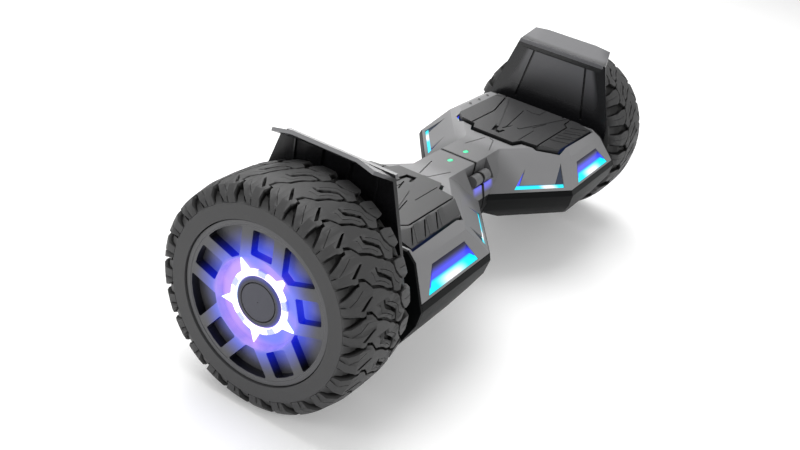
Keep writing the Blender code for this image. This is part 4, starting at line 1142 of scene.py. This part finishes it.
def make_fenders():
    fender = welded("fender_l")
    face = RIDER_FACE[0][1]
    front = face + 10 * MM
    creases = [across(stroke([(side * y, z) for y, z in CREASE], CREASE_WIDTH),
                      face - CREASE_DEPTH, front) for side in (-1, 1)]
    half, low, high, depth = SHADOW_GAP
    creases.append(across([(-half, low), (half, low), (half, high), (-half, high)], face - depth, front))
    combined(fender, creases)
    half, low, high, out = LEDGE
    ledge = [(-half, low), (half, low), (half - MM, high), (MM - half, high)]
    added = [across(ledge, face - MM, face + out)]
    width, low, high, edge = RIB
    for y in RIBS_Y:
        left, right = y - width / 2, y + width / 2
        rib = [(left, low), (right, low), (right, high), (left, high)]
        added.append(across(rib, edge, face - 2 * MM))
    combined(fender, added, "UNION")
    both(bevelled(fender, 0.5 * MM), "guard", HALVES, FENDER_BLACK, "fender_black", "fender")


make_fenders()

# %% [markdown]
# ## Light guides
#
# The windows in the casing are clear guides lit from below by blue and cyan diodes. The floor of the
# recess is the brightest, white in the middle of its length and cyan towards the ends, and the back
# fades from blue to dark at its upper edge. The slits in the slanted faces are bright along their
# bottom edge and fade upwards, at one end through blue.

# %% Light from windows, slits and pilots
WINDOW_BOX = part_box("front_light_l")
SLIT_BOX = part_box("front_slit_light_l")


def window_light():
    finish = Finish("window_light", (0.01, 0.01, 0.02), 0.30, specular=0.12)
    low, high = WINDOW_BOX
    along = abs(finish.x) - abs(low.x + high.x) / 2
    rise = finish.z - low.z
    floor = finish.step(rise, 0.0052, 0.0034)
    middle = finish.step(abs(along), 0.030, 0.006)
    bar = finish.mix(middle * finish.step(rise, 0.0046, 0.0020), (0.0, 0.86, 1.0), (1.0, 1.0, 1.0))
    upper = finish.mix(finish.step(rise, 0.0175, 0.0070), (0.010, 0.010, 0.025), (0.06, 0.065, 1.0))
    finish.glow(finish.mix(floor, upper, bar), 1.15)
    return finish


def slit_light():
    finish = Finish("slit_light", (0.01, 0.02, 0.04), 0.2, coat=0.4)
    low, high = SLIT_BOX
    rise = finish.z - (high.z - 0.0202)
    along = abs(finish.x) - abs(low.x + high.x) / 2
    line = finish.step(rise, 0.0046, 0.0034)
    hot = finish.step(abs(along - 0.004), 0.012, 0.002)
    lit = finish.mix(hot * line, (0.0, 0.80, 1.0), (1.0, 1.0, 1.0))
    inner = finish.step(along, 0.004, -0.010)
    fade = inner * finish.step(rise, 0.0210, 0.0060)
    tail = finish.mix(fade, (0.003, 0.004, 0.010), (0.07, 0.08, 0.95))
    finish.glow(finish.mix(line, tail, lit), 1.25)
    return finish


def pilot_light():
    finish = Finish("pilot_light", (0.0, 0.20, 0.08), 0.25)
    middle = finish.step(abs(finish.y), 0.0030, 0.0004)
    finish.glow(finish.mix(middle, (0.0, 0.55, 0.25), (0.10, 0.95, 0.45)), 0.9)
    return finish


WINDOW_LIGHT, SLIT_LIGHT, PILOT_LIGHT = window_light(), slit_light(), pilot_light()
LENSES = [   # (node, name, bevel in mm, segments, finish, slot)
    ("front_light", "front_window", 0.3, 1, WINDOW_LIGHT, "light_cyan"),
    ("front_slit_light", "front_slit", 0.2, 1, SLIT_LIGHT, "light_cyan"),
    ("rear_light", "rear_window", 0.3, 1, WINDOW_LIGHT, "light_cyan"),
    ("rear_slit_light", "rear_slit", 0.2, 1, SLIT_LIGHT, "light_cyan"),
    ("status_light", "pilot", 0.4, 2, PILOT_LIGHT, "light_green"),
]
print(len(LENSES), "lenses on each side")

# %% The lenses


def make_lenses():
    for node, name, bevel, segments, finish, slot in LENSES:
        both(bevelled(welded(node + "_l"), bevel * MM, segments), name, HALVES, finish, slot, node)


make_lenses()

# %% [markdown]
# ## Inner and small parts
#
# What is left keeps the frame's own mesh and only needs its finish. Cast aluminium is matt and a
# little blotchy, turned steel is streaked across its axis, and the boards carry green lacquer. They
# show only between wheel and casing, or when someone opens the board, but they are finished too.

# %% Metals, boards and the rest


def metal(name, colour, roughness, lumps, stretch=(1, 1, 1)):
    finish = Finish(name, colour, roughness, metallic=1.0)
    streaks = finish.noise(lumps, 3, stretch)
    finish.set("Base Color", finish.mix(streaks, tuple(c * 0.86 for c in colour), colour))
    finish.set("Roughness", roughness - 0.06 + streaks * 0.14)
    finish.relief(streaks, 0.08 * MM, 0.4)
    return finish


CAST_ALUMINIUM = metal("cast_aluminium", (0.52, 0.53, 0.55), 0.48, 420)
STEEL = metal("steel", (0.46, 0.47, 0.49), 0.28, 260, (12, 1, 1))
COPPER = metal("copper", (0.66, 0.31, 0.15), 0.42, 500, (1, 6, 6))
BRONZE = metal("bronze", (0.48, 0.33, 0.14), 0.42, 600)
BOARD_GREEN = grained("circuit_green", (0.015, 0.13, 0.06), 0.38, lumps=600, coat=0.2, spread=0.2)
BATTERY_BLUE = grained("battery_wrap", (0.02, 0.08, 0.34), 0.30, lumps=400, spread=0.12)
SOFT_BLACK = grained("soft_black", (0.018, 0.018, 0.019), 0.62, lumps=900)

NODE_FINISHES = {
    "chassis": CAST_ALUMINIUM, "axle_clamp": CAST_ALUMINIUM, "motor_drum": CAST_ALUMINIUM,
    "motor_axle": STEEL, "wheel_bearing_in": STEEL, "wheel_bearing_out": STEEL, "pivot_tube": STEEL,
    "pivot_circlip": STEEL, "charge_socket": STEEL, "motor_stator": COPPER, "pivot_bush": BRONZE,
    "sensor_board": BOARD_GREEN, "gyro_board": BOARD_GREEN, "main_board": BOARD_GREEN,
    "battery_pack": BATTERY_BLUE, "seam_gasket": SOFT_BLACK, "charge_cap": SOFT_BLACK,
    "power_button": BLACK_PLASTIC,
}


def finish_nodes():
    done = 0
    for name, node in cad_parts.items():
        stem = name[:-2] if name[-2:] in ("_l", "_r") else name
        if stem in NODE_FINISHES:
            node.data.materials.clear()
            node.data.materials.append(NODE_FINISHES[stem].material)
            done += 1
    print(done, "frame parts keep their own mesh")


finish_nodes()

# %% [markdown]
# ## Floor
#
# The floor is a large pale sheet. It isn't part of the board, and only catches its shadow and the
# spill of its lights.

# %% Floor and a last update


def make_floor():
    bm = bmesh.new()
    bmesh.ops.create_grid(bm, x_segments=1, y_segments=1, size=40)
    floor = new_object("floor", bm)
    finish = Finish("floor_white", (0.9, 0.9, 0.9), 0.9, specular=0.1)
    finish.set("Base Color", finish.mix(finish.noise(30, 2), (0.88, 0.88, 0.88), (0.92, 0.92, 0.92)))
    finish.glow((1, 1, 1, 1), 0.14)
    floor.data.materials.append(finish.material)


make_floor()
bpy.context.view_layer.update()
